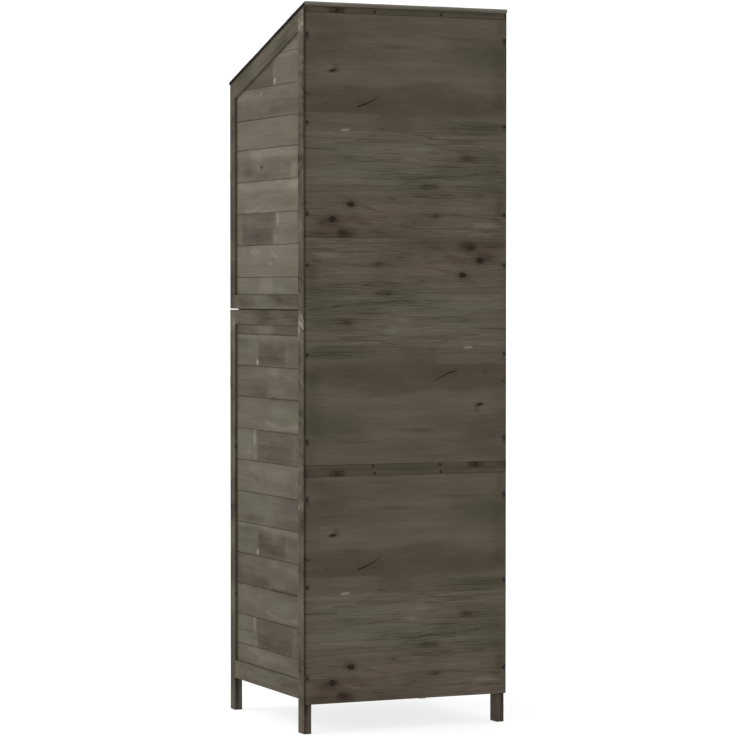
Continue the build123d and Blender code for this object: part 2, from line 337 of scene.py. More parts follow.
def wood(name, base=0.5, ring=0.10, rings=200.0, lines=0.20, ridge=0.10, broad=0.16, cloud=0.16, fine=0.12, scuff=0.08, wander=0.02,
         warp=0.006, wear=0.10, tint=2.2, knots=None, scratches=(), wild=True, rough=0.66, spec=0.08, bump=0.5, red=(1.075, 0.935, 0.955)):
    """Stained softwood. Growth rings round a far-off pith, wavy grain lines, streaks and fibres, stain that took unevenly,
    pale scuffs, knots and worn edges."""
    g = Graph(name)
    p = g.attr("gco", True)
    tone, hue, edge, grime_and_shade, gr = (g.attr(k) for k in ("tone", "hue", "edge", "grime_and_shade", "gr"))
    u, v, w = g.split(p)

    slow = g.noise(p, (2.3, 6.5, 6.5), (3.1, 1.7, 0.4), 1.0)
    wav = g.math("SUBTRACT", g.noise(p, (10.0, 36.0, 36.0), (4.4, 0.9, 6.1), 2.0, 0.55), 0.5)
    shift = g.new("ShaderNodeCombineXYZ")
    g.put(shift.inputs[1], g.mul(wav, warp))
    g.put(shift.inputs[2], g.mul(wav, warp * 0.6))
    moved = g.new("ShaderNodeVectorMath", operation="ADD")
    g.put(moved.inputs[0], p)
    g.put(moved.inputs[1], shift.outputs[0])
    q = moved.outputs[0]

    streak = g.noise(q, (4.6, 118.0, 118.0), (0.3, 5.0, 2.0), 3.0, 0.62)
    fibre = g.noise(p, (24.0, 820.0, 820.0), (1.3, 0.0, 7.0), 2.0, 0.6)
    band = g.noise(q, (3.4, 27.0, 27.0), (6.3, 1.1, 0.7), 2.0, 0.55)
    blotch = g.noise(p, (8.5, 15.0, 15.0), (7.7, 2.2, 4.0), 3.0, 0.55)
    patch = g.noise(p, (5.0, 13.0, 13.0), (1.7, 9.2, 3.0), 1.0, 0.5)
    fold = g.noise(q, (2.9, 44.0, 44.0), (2.7, 3.9, 8.0), 2.0, 0.55)
    speck = g.noise(p, (120.0, 170.0, 170.0), (0.0, 3.0, 1.0), 2.0, 0.6)

    v1 = g.add(g.mad(g.math("SUBTRACT", slow, 0.5), wander, v), g.mul(wav, warp))
    w1 = g.mad(g.math("SUBTRACT", slow, 0.5), wander * 0.7, w)
    radius = g.math("SQRT", g.add(g.mul(v1, v1), g.mul(w1, w1)))
    phase = g.mad(radius, rings, g.mul(patch, 2.4))

    core = halo = None
    if knots:
        d = None
        for cu, cv, ru, rv in knots:
            li = g.length(p, (1000 / ru, 1000 / rv, 0.0), (-cu / ru, -cv / rv, 0.0))
            d = li if d is None else g.math("MINIMUM", d, li)
        d = g.mad(g.math("SUBTRACT", speck, 0.5), 1.7, d)
        core = g.span(d, 0.35, 1.20, 1.0, 0.0)
        halo = g.span(d, 0.6, 3.0, 1.0, 0.0)
    elif wild:
        vo = g.new("ShaderNodeTexVoronoi", voronoi_dimensions="2D", feature="F1")
        g.put(vo.inputs["Vector"], g.vmad(p, (6.5, 9.5, 0.0), (2.0, 0.7, 0.0)))
        vo.inputs["Scale"].default_value = 1.0
        here = g.math("GREATER_THAN", g.split(vo.outputs["Color"])[0], 0.95)
        d = g.mad(g.math("SUBTRACT", speck, 0.5), 0.06, vo.outputs["Distance"])
        core = g.mul(g.span(d, 0.015, 0.075, 1.0, 0.0), here)
        halo = g.mul(g.span(d, 0.05, 0.24, 1.0, 0.0), here)
        phase = g.mad(halo, 1.6, phase)

    saw = g.math("FRACT", phase)
    late = g.grey(saw, [(0.0, 0.0), (0.45, 0.18), (0.84, 1.0), (0.94, 0.85), (1.0, 0.0)])
    rib = g.span(g.math("ABSOLUTE", g.math("SUBTRACT", fold, 0.5)), 0.0, 0.035, 1.0, 0.0)

    val = g.add(tone, base)
    val = g.mad(g.mul(g.math("SUBTRACT", streak, 0.5), gr), lines * 2, val)
    val = g.mad(g.mul(g.math("SUBTRACT", late, 0.35), gr), -ring, val)
    val = g.mad(g.mul(rib, gr), -ridge, val)
    val = g.mad(g.math("SUBTRACT", fibre, 0.5), fine * 2, val)
    val = g.mad(g.math("SUBTRACT", band, 0.5), broad * 2, val)
    val = g.mad(g.math("SUBTRACT", blotch, 0.5), cloud * 2, val)
    pale = g.noise(p, (30.0, 62.0, 62.0), (5.0, 8.0, 1.0), 2.0, 0.6)
    val = g.mad(g.mul(g.span(pale, 0.60, 0.74), g.span(patch, 0.42, 0.6)), scuff, val)
    if core is not None:
        val = g.mad(core, -0.40, val)
        val = g.mad(halo, -0.09, val)
    for (au, av), (bu, bv), width, depth in scratches:
        ln = math.hypot(bu - au, bv - av)
        cx, sx = (bu - au) / ln, (bv - av) / ln
        mu, mv = (au + bu) / 2000, (av + bv) / 2000
        du = g.math("SUBTRACT", u, mu)
        dv = g.math("SUBTRACT", v, mv)
        a = g.math("ABSOLUTE", g.mad(du, cx, g.mul(dv, sx)))
        b = g.math("ABSOLUTE", g.mad(dv, cx, g.mul(du, -sx)))
        m = g.mul(g.span(a, ln / 2000 * 0.45, ln / 2000, 1.0, 0.0), g.span(b, width / 4000, width / 1000, 1.0, 0.0))
        val = g.mad(m, depth, val)
    wear_and_glint = g.mul(edge, g.span(blotch, 0.35, 0.70))
    val = g.mad(wear_and_glint, wear, val)
    # Darkened by the grime channel: real grime, and painted shade in recesses and corners.
    val = g.mad(grime_and_shade, -0.5, val)

    col = g.ramp(val, STAIN)
    lean = g.mad(g.math("SUBTRACT", patch, 0.5), tint, hue)
    if core is not None:
        lean = g.mad(halo, -0.35, lean)
    green = g.mix(g.span(lean, 0.0, 1.6, 0.0, 1.0, False), (1, 1, 1), (0.925, 1.030, 1.010))
    plum = g.mix(g.span(lean, 0.0, -2.0, 0.0, 1.0, False), (1, 1, 1), red)
    col = g.mix(1.0, col, green, "MULTIPLY")
    col = g.mix(1.0, col, plum, "MULTIPLY")
    if core is not None:
        heart = g.ramp(d, [(0.0, (0.0270, 0.0155, 0.0090)), (0.45, (0.0220, 0.0125, 0.0070)), (0.75, (0.0140, 0.0092, 0.0054)), (1.0, (0.0200, 0.0140, 0.0088))])
        col = g.mix(g.mul(core, 0.90), col, heart)
    rg = g.mad(g.math("SUBTRACT", streak, 0.5), 0.22, rough)
    rg = g.mad(grime_and_shade, 0.2, rg)
    rg = g.mad(late, -0.06, rg)
    h = g.add(g.mul(g.mul(late, gr), 0.5), g.mul(fibre, 0.55), g.mul(streak, 0.45))
    if core is not None:
        h = g.mad(core, -0.5, h)
    g.set(color=col, rough=rg, spec=spec)
    g.bump(h, bump, 0.0006)
    return g.mat


BACK_KNOTS = [(119, 475, 10.0, 7.5), (73, 511.5, 11.0, 7.0)]
BACK_SCRATCHES = [((132, 243.5), (164, 233.5), 3.2, -0.26), ((155, 237.5), (183, 223), 2.6, -0.26), ((175, 226.5), (203, 213), 1.9, -0.20),
                  ((0, 211), (16, 217), 2.0, -0.26), ((89, 299.2), (121, 297.4), 4.2, 0.40), ((471, 163.5), (501, 163), 2.2, 0.16),
                  ((500, 282), (522, 278), 1.6, -0.15), ((512, 278), (528, 286), 1.8, -0.16)]

M_FRAME = wood("frame_stain", base=0.515, ring=0.11, lines=0.24, ridge=0.10, broad=0.22, cloud=0.20, fine=0.12, scuff=0.12, wander=0.012,
               wear=0.07, rough=0.74, spec=0.05, red=(1.055, 0.940, 0.985))
M_BOARD = wood("board_stain", base=0.555, ring=0.07, lines=0.19, ridge=0.07, broad=0.15, cloud=0.15, fine=0.11, scuff=0.10, wander=0.018,
               wear=0.04, tint=1.2, wild=False, rough=0.74, spec=0.08, red=(0.955, 0.94, 1.055))
M_BACK = wood("back_stain", base=0.572, ring=0.10, rings=150.0, lines=0.30, ridge=0.15, broad=0.10, cloud=0.07, fine=0.12, scuff=0.04,
              wander=0.016, warp=0.007, wear=0.04, tint=0.8, knots=BACK_KNOTS, scratches=BACK_SCRATCHES, rough=0.72, spec=0.05, red=(1.060, 0.940, 0.985))
M_SHEET = wood("sheet_stain", base=0.56, rings=150.0, wander=0.03)
M_TURNED = wood("turned_stain", base=0.33, ring=0.10, rings=420.0, lines=0.16, fine=0.14, cloud=0.10, wander=0.006,
                rough=0.45, spec=0.3, bump=0.3, wild=False)


# ---------------------------------------------------------------- stain on the side boards
UNIT = 0.0125

# s runs along a board from the front (0) to the back (1), t from its lower edge (0) to its upper edge (1). patch: s0, s1, t0, t1,
# lighter or darker, greener or redder, softness along and across. blob: middle, half sizes. wave: a line through points. nick: a pale chip.
BOARD_LOOKS = {
    "joint_a": [("flat", 0, .3), ("patch", -.2, .345, -.1, 1.1, 1.5, .5, .004, .1), ("patch", 0, .52, .89, 1.05, 12, .2, .03, .03),
                ("patch", .55, 1, .80, .98, 10, -.2, .03, .04), ("patch", .345, .76, .05, .72, -14, -.3, .010, .10),
                ("blob", .42, .45, .08, .26, -3, .3), ("blob", .60, .28, .13, .20, -5, -.5), ("blob", .61, .66, .07, .13, 9, -.2),
                ("patch", .76, 1.1, .05, .80, -5, -.2, .03, .08),
                ("blob", .13, .75, .09, .14, -5, .3), ("nick", .335, .13, .017, .085, 46)],
    "plum": [("flat", -1, -.8), ("patch", -.1, .5, .55, .95, 2, -.2, .05, .06), ("blob", .59, .82, .10, .10, 12, -.3),
             ("blob", .85, .70, .12, .13, 9, -.4), ("wave", ((0, .54), (.25, .55), (.5, .50)), .035, -7, -.3),
             ("patch", .02, .49, 0, .40, -9, .1, .03, .06), ("blob", .40, .14, .14, .14, -9, .5), ("blob", .62, .30, .12, .16, 4, -.3),
             ("patch", .75, 1.1, 0, .30, -4, -.3, .04, .08), ("wave", ((.55, .02), (.96, .02)), .035, -14, 0)],
    "clear": [("flat", 2, .4), ("blob", .22, .45, .25, .30, 3, -.3), ("patch", .5, .9, .3, .75, 3, .9, .04, .08),
              ("wave", ((.45, .28), (.6, .16), (.72, .12), (.85, .17), (1, .22)), .05, 13, -.2), ("blob", .92, .2, .10, .12, 6, -.4),
              ("patch", .55, 1, .85, 1.05, -3, -.4, .05, .05), ("wave", ((.5, .98), (.85, .96)), .03, -8, 0)],
    "joint_b": [("flat", 0, .2), ("patch", -.2, .235, -.1, 1.1, 4, .9, .01, .1), ("nick", .285, .76, .022, .28, 21), ("nick", .30, .13, .016, .10, 10),
                ("blob", .16, .15, .06, .10, -1, -1.2), ("patch", .325, .885, .52, 1.02, -6, -.6, .010, .04),
                ("patch", .33, .87, 0, .52, -11, -.2, .010, .04), ("wave", ((.33, .57), (.45, .60), (.55, .55)), .04, 8, -.3),
                ("patch", .885, 1.1, 0, .5, 0, .8, .02, .06), ("patch", .94, 1.1, -.1, 1.1, -6, .3, .01, .1)],
    "pale": [("flat", 4, .2), ("blob", .31, .78, .11, .22, 9, -.2), ("wave", ((.16, .68), (.28, .50), (.40, .33)), .04, -8, .3),
             ("nick", .385, .45, .040, .20, 8), ("patch", .44, .82, .45, .78, 8, -.2, .04, .06), ("patch", .80, 1.1, .1, .9, -5, -.3, .05, .1),
             ("patch", .60, .85, .05, .22, -3, .9, .04, .05), ("wave", ((.6, .10), (.72, .13), (.84, .12)), .035, 9, .4), ("blob", .1, .25, .14, .2, -1, .8)],
    "olive": [("flat", 0, .4), ("patch", -.1, .6, .3, 1.1, 3, .9, .04, .08), ("blob", .24, .17, .11, .13, -12, -.8),
              ("patch", .60, 1.1, 0, 1.1, -4, -.6, .03, .1), ("blob", .87, .68, .08, .12, 2, -1.4), ("patch", .60, .98, 0, .28, -7, 0, .03, .06),
              ("wave", ((.55, .86), (.68, .88)), .045, 5, .5)],
    "brown": [("flat", -3, .1), ("patch", -.1, .32, -.1, 1.1, -2, .1, .03, .1), ("patch", .34, .55, -.1, 1.1, 5, .1, .03, .1),
              ("patch", .57, 1.1, -.1, 1.1, -6, -.7, .03, .1)],
    "bright": [("flat", 5, .3), ("patch", .36, 1, .74, .98, 11, .2, .05, .05), ("patch", 0, .36, .78, .98, 7, .2, .05, .05),
               ("wave", ((.36, .62), (.55, .63), (.7, .60)), .035, -9, -.1), ("wave", ((.14, .10), (.26, .10), (.38, .18)), .045, 13, .1),
               ("blob", .15, .45, .12, .2, -3, .8), ("blob", .08, .2, .08, .14, -4, -.7), ("patch", .65, .9, .15, .5, -2, .9, .05, .08)],
    "knotty": [("flat", 0, .1), ("patch", .22, .98, .70, .98, 14, .3, .04, .05), ("patch", 0, .22, .70, .98, 5, -.4, .05, .05),
               ("blob", .17, .28, .10, .20, -17, -.2), ("blob", .40, .15, .11, .14, -13, .1), ("blob", .40, .42, .018, .055, -42, -.5),
               ("blob", .355, .42, .025, .05, 8, 0), ("patch", .5, .75, .1, .6, -4, .9, .04, .06), ("blob", .81, .45, .06, .14, -8, -.2),
               ("nick", .705, .42, .018, .06, 12), ("patch", .86, .95, .08, .5, 14, -.2, .02, .06)],
    "calm": [("flat", 1, -.2), ("patch", .7, .88, .5, .9, 5, .2, .04, .08), ("patch", -.1, .1, 0, .5, -3, .8, .03, .08),
             ("wave", ((.4, .45), (.5, .42)), .035, -8, 0), ("patch", .7, 1.1, 0, .25, -4, -.2, .05, .08)],
    "plum_up": [("flat", -1, -.7), ("blob", .18, .75, .17, .16, 9, .8), ("nick", .395, .80, .018, .06, 14),
                ("wave", ((0, .45), (.35, .46), (.6, .52), (.95, .50)), .04, -7, -.2), ("patch", .54, 1.1, .05, .45, -9, -.5, .04, .08),
                ("blob", .45, .28, .10, .16, 1, 1.0), ("patch", -.1, .25, 0, .4, -4, -.6, .04, .08)],
    "joint_up": [("flat", 0, .1), ("patch", .1, .585, -.1, .95, -19, -.7, .008, .06), ("nick", .605, .15, .018, .075, 44),
                 ("patch", .60, 1.1, .45, .95, -3, .6, .008, .08), ("patch", .60, 1.1, 0, .45, -6, .3, .008, .08),
                 ("patch", .61, 1.1, .84, .97, 10, .2, .02, .03)],
    "lav": [("flat", -1, -.5), ("patch", .5, 1.1, .3, 1.1, 2, -.4, .05, .1)],
    "first": [("flat", 2, .2), ("patch", .36, .57, -.1, 1.1, 7, -.2, .02, .1), ("patch", .12, .33, -.1, 1.1, -1, .9, .03, .1),
              ("patch", .6, .95, -.1, 1.1, -1, .9, .03, .1), ("patch", -.1, .1, -.1, 1.1, 1, -.6, .03, .1)],
    "pale_up": [("flat", 7, .1), ("patch", .22, .39, .70, .95, 9, .5, .02, .05), ("wave", ((.5, .95), (.58, .75), (.66, .55)), .07, 10, -.1),
                ("nick", .54, .42, .018, .07, 18), ("patch", -.1, .2, 0, .4, -6, -.5, .05, .08), ("patch", .75, .92, .5, .9, 0, .8, .04, .08),
                ("wave", ((.03, .97), (.26, .97)), .03, -8, 0)],
    "joint_b_up": [("flat", 0, 0), ("patch", -.1, .085, -.1, 1.1, 2, -.5, .02, .1), ("patch", .085, .595, .5, 1.02, -9, -.2, .010, .04),
                   ("patch", .085, .58, 0, .5, -13, -.6, .010, .04), ("wave", ((.3, .57), (.45, .56), (.58, .60)), .04, 9, -.2),
                   ("nick", .655, .80, .018, .24, 22), ("nick", .625, .22, .03, .10, 12), ("patch", .68, 1.1, -.1, 1.1, 4, 0, .01, .1),
                   ("patch", .94, 1.1, -.1, 1.1, -2, 1.0, .02, .1)],
    "rail_bottom": [("patch", -.1, .27, -.1, 1.1, -3, 0, .04, .1), ("blob", .55, .4, .10, .4, 6, .9), ("patch", .70, 1, .3, .8, -8, -.2, .04, .08)],
    "rail_low_top": [("flat", 0, -.2), ("patch", .40, 1.1, -.1, 1.1, -8, -.8, .10, .10), ("blob", .33, .6, .06, .2, 2, 1.0), ("blob", .08, .05, .02, .08, -22, 0)],
    "rail_up_low": [("flat", 0, .3), ("blob", .36, .5, .03, .5, 6, -.6), ("patch", .40, .62, -.1, 1.1, 4, .9, .03, .1), ("patch", .63, .9, .4, .8, -11, .2, .04, .08),
                    ("patch", .8, 1.1, -.1, 1.1, -4, -.3, .05, .1), ("patch", -.2, .005, -.1, 1.1, -8, .5, .012, .1)],
    "rail_slope": [("flat", 0, .6), ("blob", .12, .5, .10, .5, -3, .2), ("blob", .30, .6, .09, .4, 3, .7), ("blob", .45, .4, .07, .4, -4, -.5),
                   ("blob", .62, .5, .08, .5, 4, .5), ("blob", .78, .4, .09, .4, -5, .1), ("blob", .93, .5, .06, .5, -2, -.4)],
}


def mirrored(look):
    out = []
    for m in BOARD_LOOKS[look]:
        if m[0] == "patch":
            out.append(("patch", 1 - m[2], 1 - m[1]) + m[3:])
        elif m[0] in ("blob", "nick"):
            out.append((m[0], 1 - m[1]) + m[2:])
        elif m[0] == "wave":
            out.append(("wave", tuple((1 - a, b) for a, b in reversed(m[1]))) + m[2:])
        else:
            out.append(m)
    return out


def step01(x, w):
    return 1.0 / (1.0 + np.exp(-np.clip(x / w, -40, 40)))


def look_fields(marks, s, t, seed):
    tone, hue = np.zeros(len(s)), np.zeros(len(s))
    q = np.stack([t * 5.0, s * 0, s * 0], axis=1)
    bend = 0.007 * vnoise(q + seed, seed)
    q = np.stack([s * 9.0, t * 0, t * 0], axis=1)
    sway = 0.05 * vnoise(q + seed * 2, seed + 1)
    for m in marks:
        if m[0] == "flat":
            tone += m[1] * UNIT
            hue += m[2]
            continue
        if m[0] == "patch":
            _, s0, s1, t0, t1, a, h, ws, wt = m
            f = step01(s + bend - s0, ws * 0.5) * step01(s1 - s - bend, ws * 0.5) * step01(t + sway - t0, wt * 0.5) * step01(t1 - t - sway, wt * 0.5)
        elif m[0] == "blob":
            _, cs, ct, rs, rt, a, h = m
            f = np.exp(-((s - cs) / rs) ** 2 - ((t + sway * 0.5 - ct) / rt) ** 2)
        elif m[0] == "wave":
            _, pts, hw, a, h = m
            mid = np.interp(s, [c[0] for c in pts], [c[1] for c in pts])
            f = np.exp(-((t + sway * 0.4 - mid) / hw) ** 2) * step01(s - pts[0][0], 0.008) * step01(pts[-1][0] - s, 0.008)
        else:
            _, cs, ct, rs, rt, a = m
            h = 0.0
            f = np.exp(-np.abs((s + bend - cs) / rs) ** 3 - np.abs((t - ct) / rt) ** 4)
        tone += a * UNIT * f
        hue += h * f
    return tone, hue


def nick_lines(marks, a, b):
    """Extra grid lines where a board's stain changes sharply."""
    out = []
    for m in marks:
        if m[0] == "nick":
            for k in (-1.3, -0.8, -0.3, 0.3, 0.8, 1.3):
                out.append(a + (m[1] + k * m[3]) * (b - a))
        if m[0] == "patch" and m[7] < 0.015:
            for e in (m[1], m[2]):
                for k in (-5.0, -1.6, 1.6, 5.0):
                    out.append(a + e * (b - a) + k)
    return out


LOW_LOOKS = [("pale", 0), ("joint_b", 0), ("clear", 0), ("plum", 0), ("joint_a", 0), ("olive", 0), ("pale", 0), ("joint_b", 0), ("clear", 0),
             ("plum", 0), ("joint_a", 0), ("brown", 0)]
UP_LOOKS = [("first", 0), ("pale_up", 0), ("joint_b_up", 0), ("bright", 0), ("knotty", 0), ("calm", 0), ("plum_up", 0), ("joint_up", 0), ("lav", 0)]


def side_boards(part, side, s, edges, looks, turn):
    pc = Piece(f"{part}_{side}_boards_wood")
    xi, xo = (BOARD_OUT - T_BOARD) * s, BOARD_OUT * s
    for n, (a, b) in enumerate(zip(edges, edges[1:])):
        seed = 100 + n * 3 + (40 if part == "upper" else 0) + (500 if s < 0 else 0)
        marks = mirrored(looks[n][0]) if turn else list(BOARD_LOOKS[looks[n][0]])
        y0, y1 = YFI, YRI
        cut = b > z_rail(YFI)
        if a >= z_rail(YRI) - 3:
            continue
        if cut:
            y0 = max(YFI, (a + 2.5 - 1745.0 + 52.0) / TA + 259.6)
        jit = (0.045 if part == "upper" else -0.01) + 0.03 * (rnd(seed, 7) - 0.5)
        shift = 0.06 * (rnd(seed, 8) - 0.5) if s < 0 else 0.0

        extra_y = nick_lines(marks, YFI, YRI)
        shape = None
        if cut:
            yk = (b - 1745.0 + 52.0) / TA + 259.6
            extra_y = extra_y + [yk]

            def shape(v, a=a, b=b):
                top = np.minimum(b, z_rail(v[:, 1]))
                v = v.copy()
                v[:, 2] = a + (v[:, 2] - a) * np.maximum(top - a, 0.6) / (b - a)
                return v

        def paint(v, a=a, b=b, marks=marks, seed=seed, jit=jit, shift=shift, shape=shape, first=n == 0, last=b == 975.5):
            near = np.minimum(v[:, 2] - a, (b - v[:, 2]) + (1.4 if shape else 0.0))
            if shape:
                v = shape(v)
            ss, tt = (v[:, 1] - YFI) / (YRI - YFI) + shift, (v[:, 2] - a) / (b - a)
            tone, hue = look_fields(marks, ss, tt, seed)
            out = np.abs(v[:, 0]) - (BOARD_OUT - 2.0)
            grime_and_shade = np.where(out > -0.5, np.exp(-np.maximum(near, 0) / 0.8) * np.where((v[:, 2] - a < 4.0) & first, 0.22, 0.62), 0.0)
            # Painted shade in the corners where the boards meet the posts.
            ends = np.minimum(v[:, 1] - YFI, YRI - v[:, 1])
            grime_and_shade = np.maximum(grime_and_shade, 0.10 * np.exp(-np.maximum(ends, 0) / 2.0))
            # Painted light: the lowest board's lower edge is lightened to lift the shade in its groove above the bottom
            # rail.
            if first and a < 200.0:
                tone = tone + 0.26 * np.exp(-np.maximum(v[:, 2] - a, 0) / 1.6)
            # Painted light: the top board is lightened just under the rail, and its edge darkening faded there, to lift
            # the shadow cast by the rail.
            if last:
                grime_and_shade = grime_and_shade * (0.25 + 0.75 * step01(b - 5.0 - v[:, 2], 0.8))
                tone = tone + 0.46 * np.exp(-np.maximum(b - v[:, 2], 0) / 2.6)
            return tone + jit, hue, grime_and_shade, None

        pc.bar((min(xi, xo), y0, a), (max(xi, xo), y1, b), 1, seed, r=1.7, step=(8, 8, 3.6), edge=2.0, extra=((), extra_y, ()),
               wobble=0.14, paint=paint, shape=shape, wear=0.25)
    return pc


# ---------------------------------------------------------------- carcass: side walls
# along a post: height, half length, lighter or darker, greener or redder, strength of short cross marks
REAR_LOW = [(30, 34, 6, -.5, 3), (82, 14, -6, 0, 3), (120, 22, -1, -.1, 3), (160, 18, -6, 0, 4), (215, 22, 3, .1, 3), (288, 48, 8, -.3, 4), (385, 28, -8, -.1, 5),
            (440, 20, 5, .2, 4), (497, 16, -12, -.1, 9), (545, 12, 13, .2, 12), (590, 26, -1, .4, 8), (642, 16, 8, .3, 8), (690, 26, 2, .2, 7), (757, 18, -3, .9, 9),
            (806, 22, 0, .1, 5), (845, 20, -1, -.2, 6), (900, 26, -4, -.3, 7), (972, 34, 18, .2, 20)]
REAR_UP = [(1040, 24, 1, .1, 6), (1095, 30, -4, -.5, 4), (1170, 24, 1, -.2, 4), (1212, 16, 5, 1.0, 8), (1285, 38, -8, .4, 4), (1362, 22, -20, -.2, 16),
           (1430, 30, -6, -.3, 6), (1475, 14, -6, -.2, 10), (1515, 18, 2, -.2, 10), (1548, 22, 8, .2, 9), (1604, 20, 6, -.1, 10), (1655, 18, 9, -.4, 6), (1702, 30, 19, .5, 18)]
FRONT_LOW = [(28, 30, 0, .2, 3), (110, 50, -2, .4, 4), (200, 30, -3, .6, 4), (285, 42, 13, .5, 6), (378, 28, -1, .3, 4), (440, 26, 5, .8, 5), (502, 24, -15, .5, 6), (560, 20, -1, .3, 5),
             (625, 40, 15, .5, 6), (685, 26, 8, .4, 5), (745, 30, 11, .6, 6), (805, 24, -2, .6, 5), (865, 34, 7, .4, 6), (922, 22, 8, .5, 12), (978, 28, 13, .4, 20)]
FRONT_UP = [(1100, 34, -2, .7, 4), (1160, 30, 7, 1.0, 5), (1222, 28, 3, 1.2, 5), (1285, 30, 1, .8, 5), (1345, 30, 2, .6, 5), (1405, 30, 6, .7, 5), (1470, 30, -2, .5, 5), (1520, 20, 3, .8, 5)]


def post_paint(zones, seed, rear):
    def paint(v):
        tone, hue = np.zeros(len(v)), np.zeros(len(v))
        slant = v[:, 2] + 0.5 * v[:, 1]
        tick = vnoise(np.stack([slant / 4.6, v[:, 1] / 60.0, v[:, 0] / 60.0], axis=1), seed) + 0.5 * vnoise(np.stack([slant / 2.4, v[:, 1] / 40.0, v[:, 0] / 40.0], axis=1), seed + 3)
        chip = vnoise(np.stack([slant / 6.5, v[:, 1] / 11.0, v[:, 0] / 30.0], axis=1), seed + 21)
        fleck = np.clip(chip - 0.22, 0, 1) * 2.6 - np.clip(-chip - 0.34, 0, 1) * 2.2
        for zc, hz, a, h, k in zones:
            f = np.exp(-((v[:, 2] - zc) / hz) ** 4)
            tone += UNIT * (a + (1.1 if rear else 0.9) * k * tick + (1.1 if rear else 0.7) * k * fleck) * f
            hue += h * f
        grime_and_shade = np.zeros(len(v))
        if rear:
            # Painted shade in the crease where the post's rear edge meets the back panel.
            grime_and_shade = 0.34 * np.exp(-np.maximum(YR - v[:, 1], 0) / 0.9)
            # Painted highlight: a light line just in from the rear edge.
            tone += UNIT * 5 * np.exp(-((v[:, 1] - YR + 5.5) / 2.2) ** 2)
            spot = np.clip(vnoise(np.stack([v[:, 2] / 7.0, v[:, 1] / 30.0, v[:, 0] / 30.0], axis=1), seed + 8) - 0.45, 0, 1) * 2.2
            tone -= UNIT * 16 * spot * np.exp(-((v[:, 1] - YRI - 6.0) / 7.0) ** 2)
            foot = (v[:, 2] < 73.0) * (v[:, 1] > YR - 1.0)
            out = np.abs(v[:, 0])
            tone -= foot * UNIT * ((15 * step01(v[:, 2] - 46.0, 3.0) + 5) * np.exp(-((out - 261.0) / 4.2) ** 2) - 8 * step01(257.0 - out, 1.0) + 9 * step01(249.5 - out, 0.8))
            hue -= foot * 2.6 * step01(46.0 - v[:, 2], 3.0) * step01(v[:, 2] - 16.0, 3.0) * np.exp(-((out - 260.0) / 4.0) ** 2)
        else:
            # Painted light: the inner face towards the back, in the recess by the boards, is lightened, most at the
            # foot.
            inner_face_light = np.exp(-np.maximum(YFI - v[:, 1], 0) / 0.5)
            tone = tone * (1.0 - 0.6 * inner_face_light) + np.where(v[:, 2] < 84.0, 0.27, np.where(v[:, 2] < 1012.0, 0.06, 0.18)) * inner_face_light
            # Painted shade on the groove where the post meets the upper bottom rail (z 1048).
            grime_and_shade = 0.45 * np.exp(-np.abs(v[:, 2] - 1048.0) / 1.4)
            for zc in (295.0, 666.0):
                grime_and_shade = np.maximum(grime_and_shade, 0.9 * np.exp(-((v[:, 2] - zc) / 3.4) ** 2 - ((v[:, 1] - YFI + 1.0) / 3.0) ** 2))
            # Painted shade on the foot: a dark band down the inner face near the outer edge, carrying on the recess
            # shade, and darker just under the bottom rail.
            foot = (v[:, 2] < 84.0) * (v[:, 1] > YFI - 1.0)
            out = np.abs(v[:, 0])
            tone -= foot * UNIT * (29 * np.exp(-np.abs((out - 260.6) / 4.6) ** 3) * (0.75 + 0.25 * step01(v[:, 2] - 20.0, 6.0)) + 17 * np.exp(-np.maximum(81.0 - v[:, 2], 0) / 4.0))
        return tone, hue, grime_and_shade, None
    return paint


def rail_paint(look, seed, lo, hi, turn, underside_light=0.0, joint=None):
    marks = mirrored(look) if turn else list(BOARD_LOOKS[look])

    def paint(v):
        tone, hue = look_fields(marks, (v[:, 1] - YFI) / (YRI - YFI), (v[:, 2] - lo) / (hi - lo), seed)
        # Painted light on the rail's underside, lifting its shade.
        tone += underside_light * np.exp(-np.maximum(v[:, 2] - lo, 0) / 0.8)
        grime_and_shade = np.zeros(len(v))
        if joint is not None:
            # A dark joint line, plus painted shade on the groove below the upper front post (z 1048).
            grime_and_shade = 0.22 * np.exp(-np.abs(v[:, 2] - joint) / 1.3) + 0.45 * np.exp(-np.abs(v[:, 2] - 1048.0) / 1.4) * step01(YFI + 1.0 - v[:, 1], 0.5)
            # Painted light on the faces at the joint, lifting the shade in the slot by the divider.
            tone += 0.30 * np.exp(-np.abs(v[:, 2] - joint) / 0.35)
            hue -= 1.2 * np.exp(-np.abs(v[:, 2] - joint) / 0.8)
            if joint == lo:
                tone += UNIT * 9.0 * np.exp(-((v[:, 2] - joint - 3.2) / 1.5) ** 2) * step01(v[:, 1] - YFI, 3.0)
        return tone, hue, grime_and_shade, None
    return paint


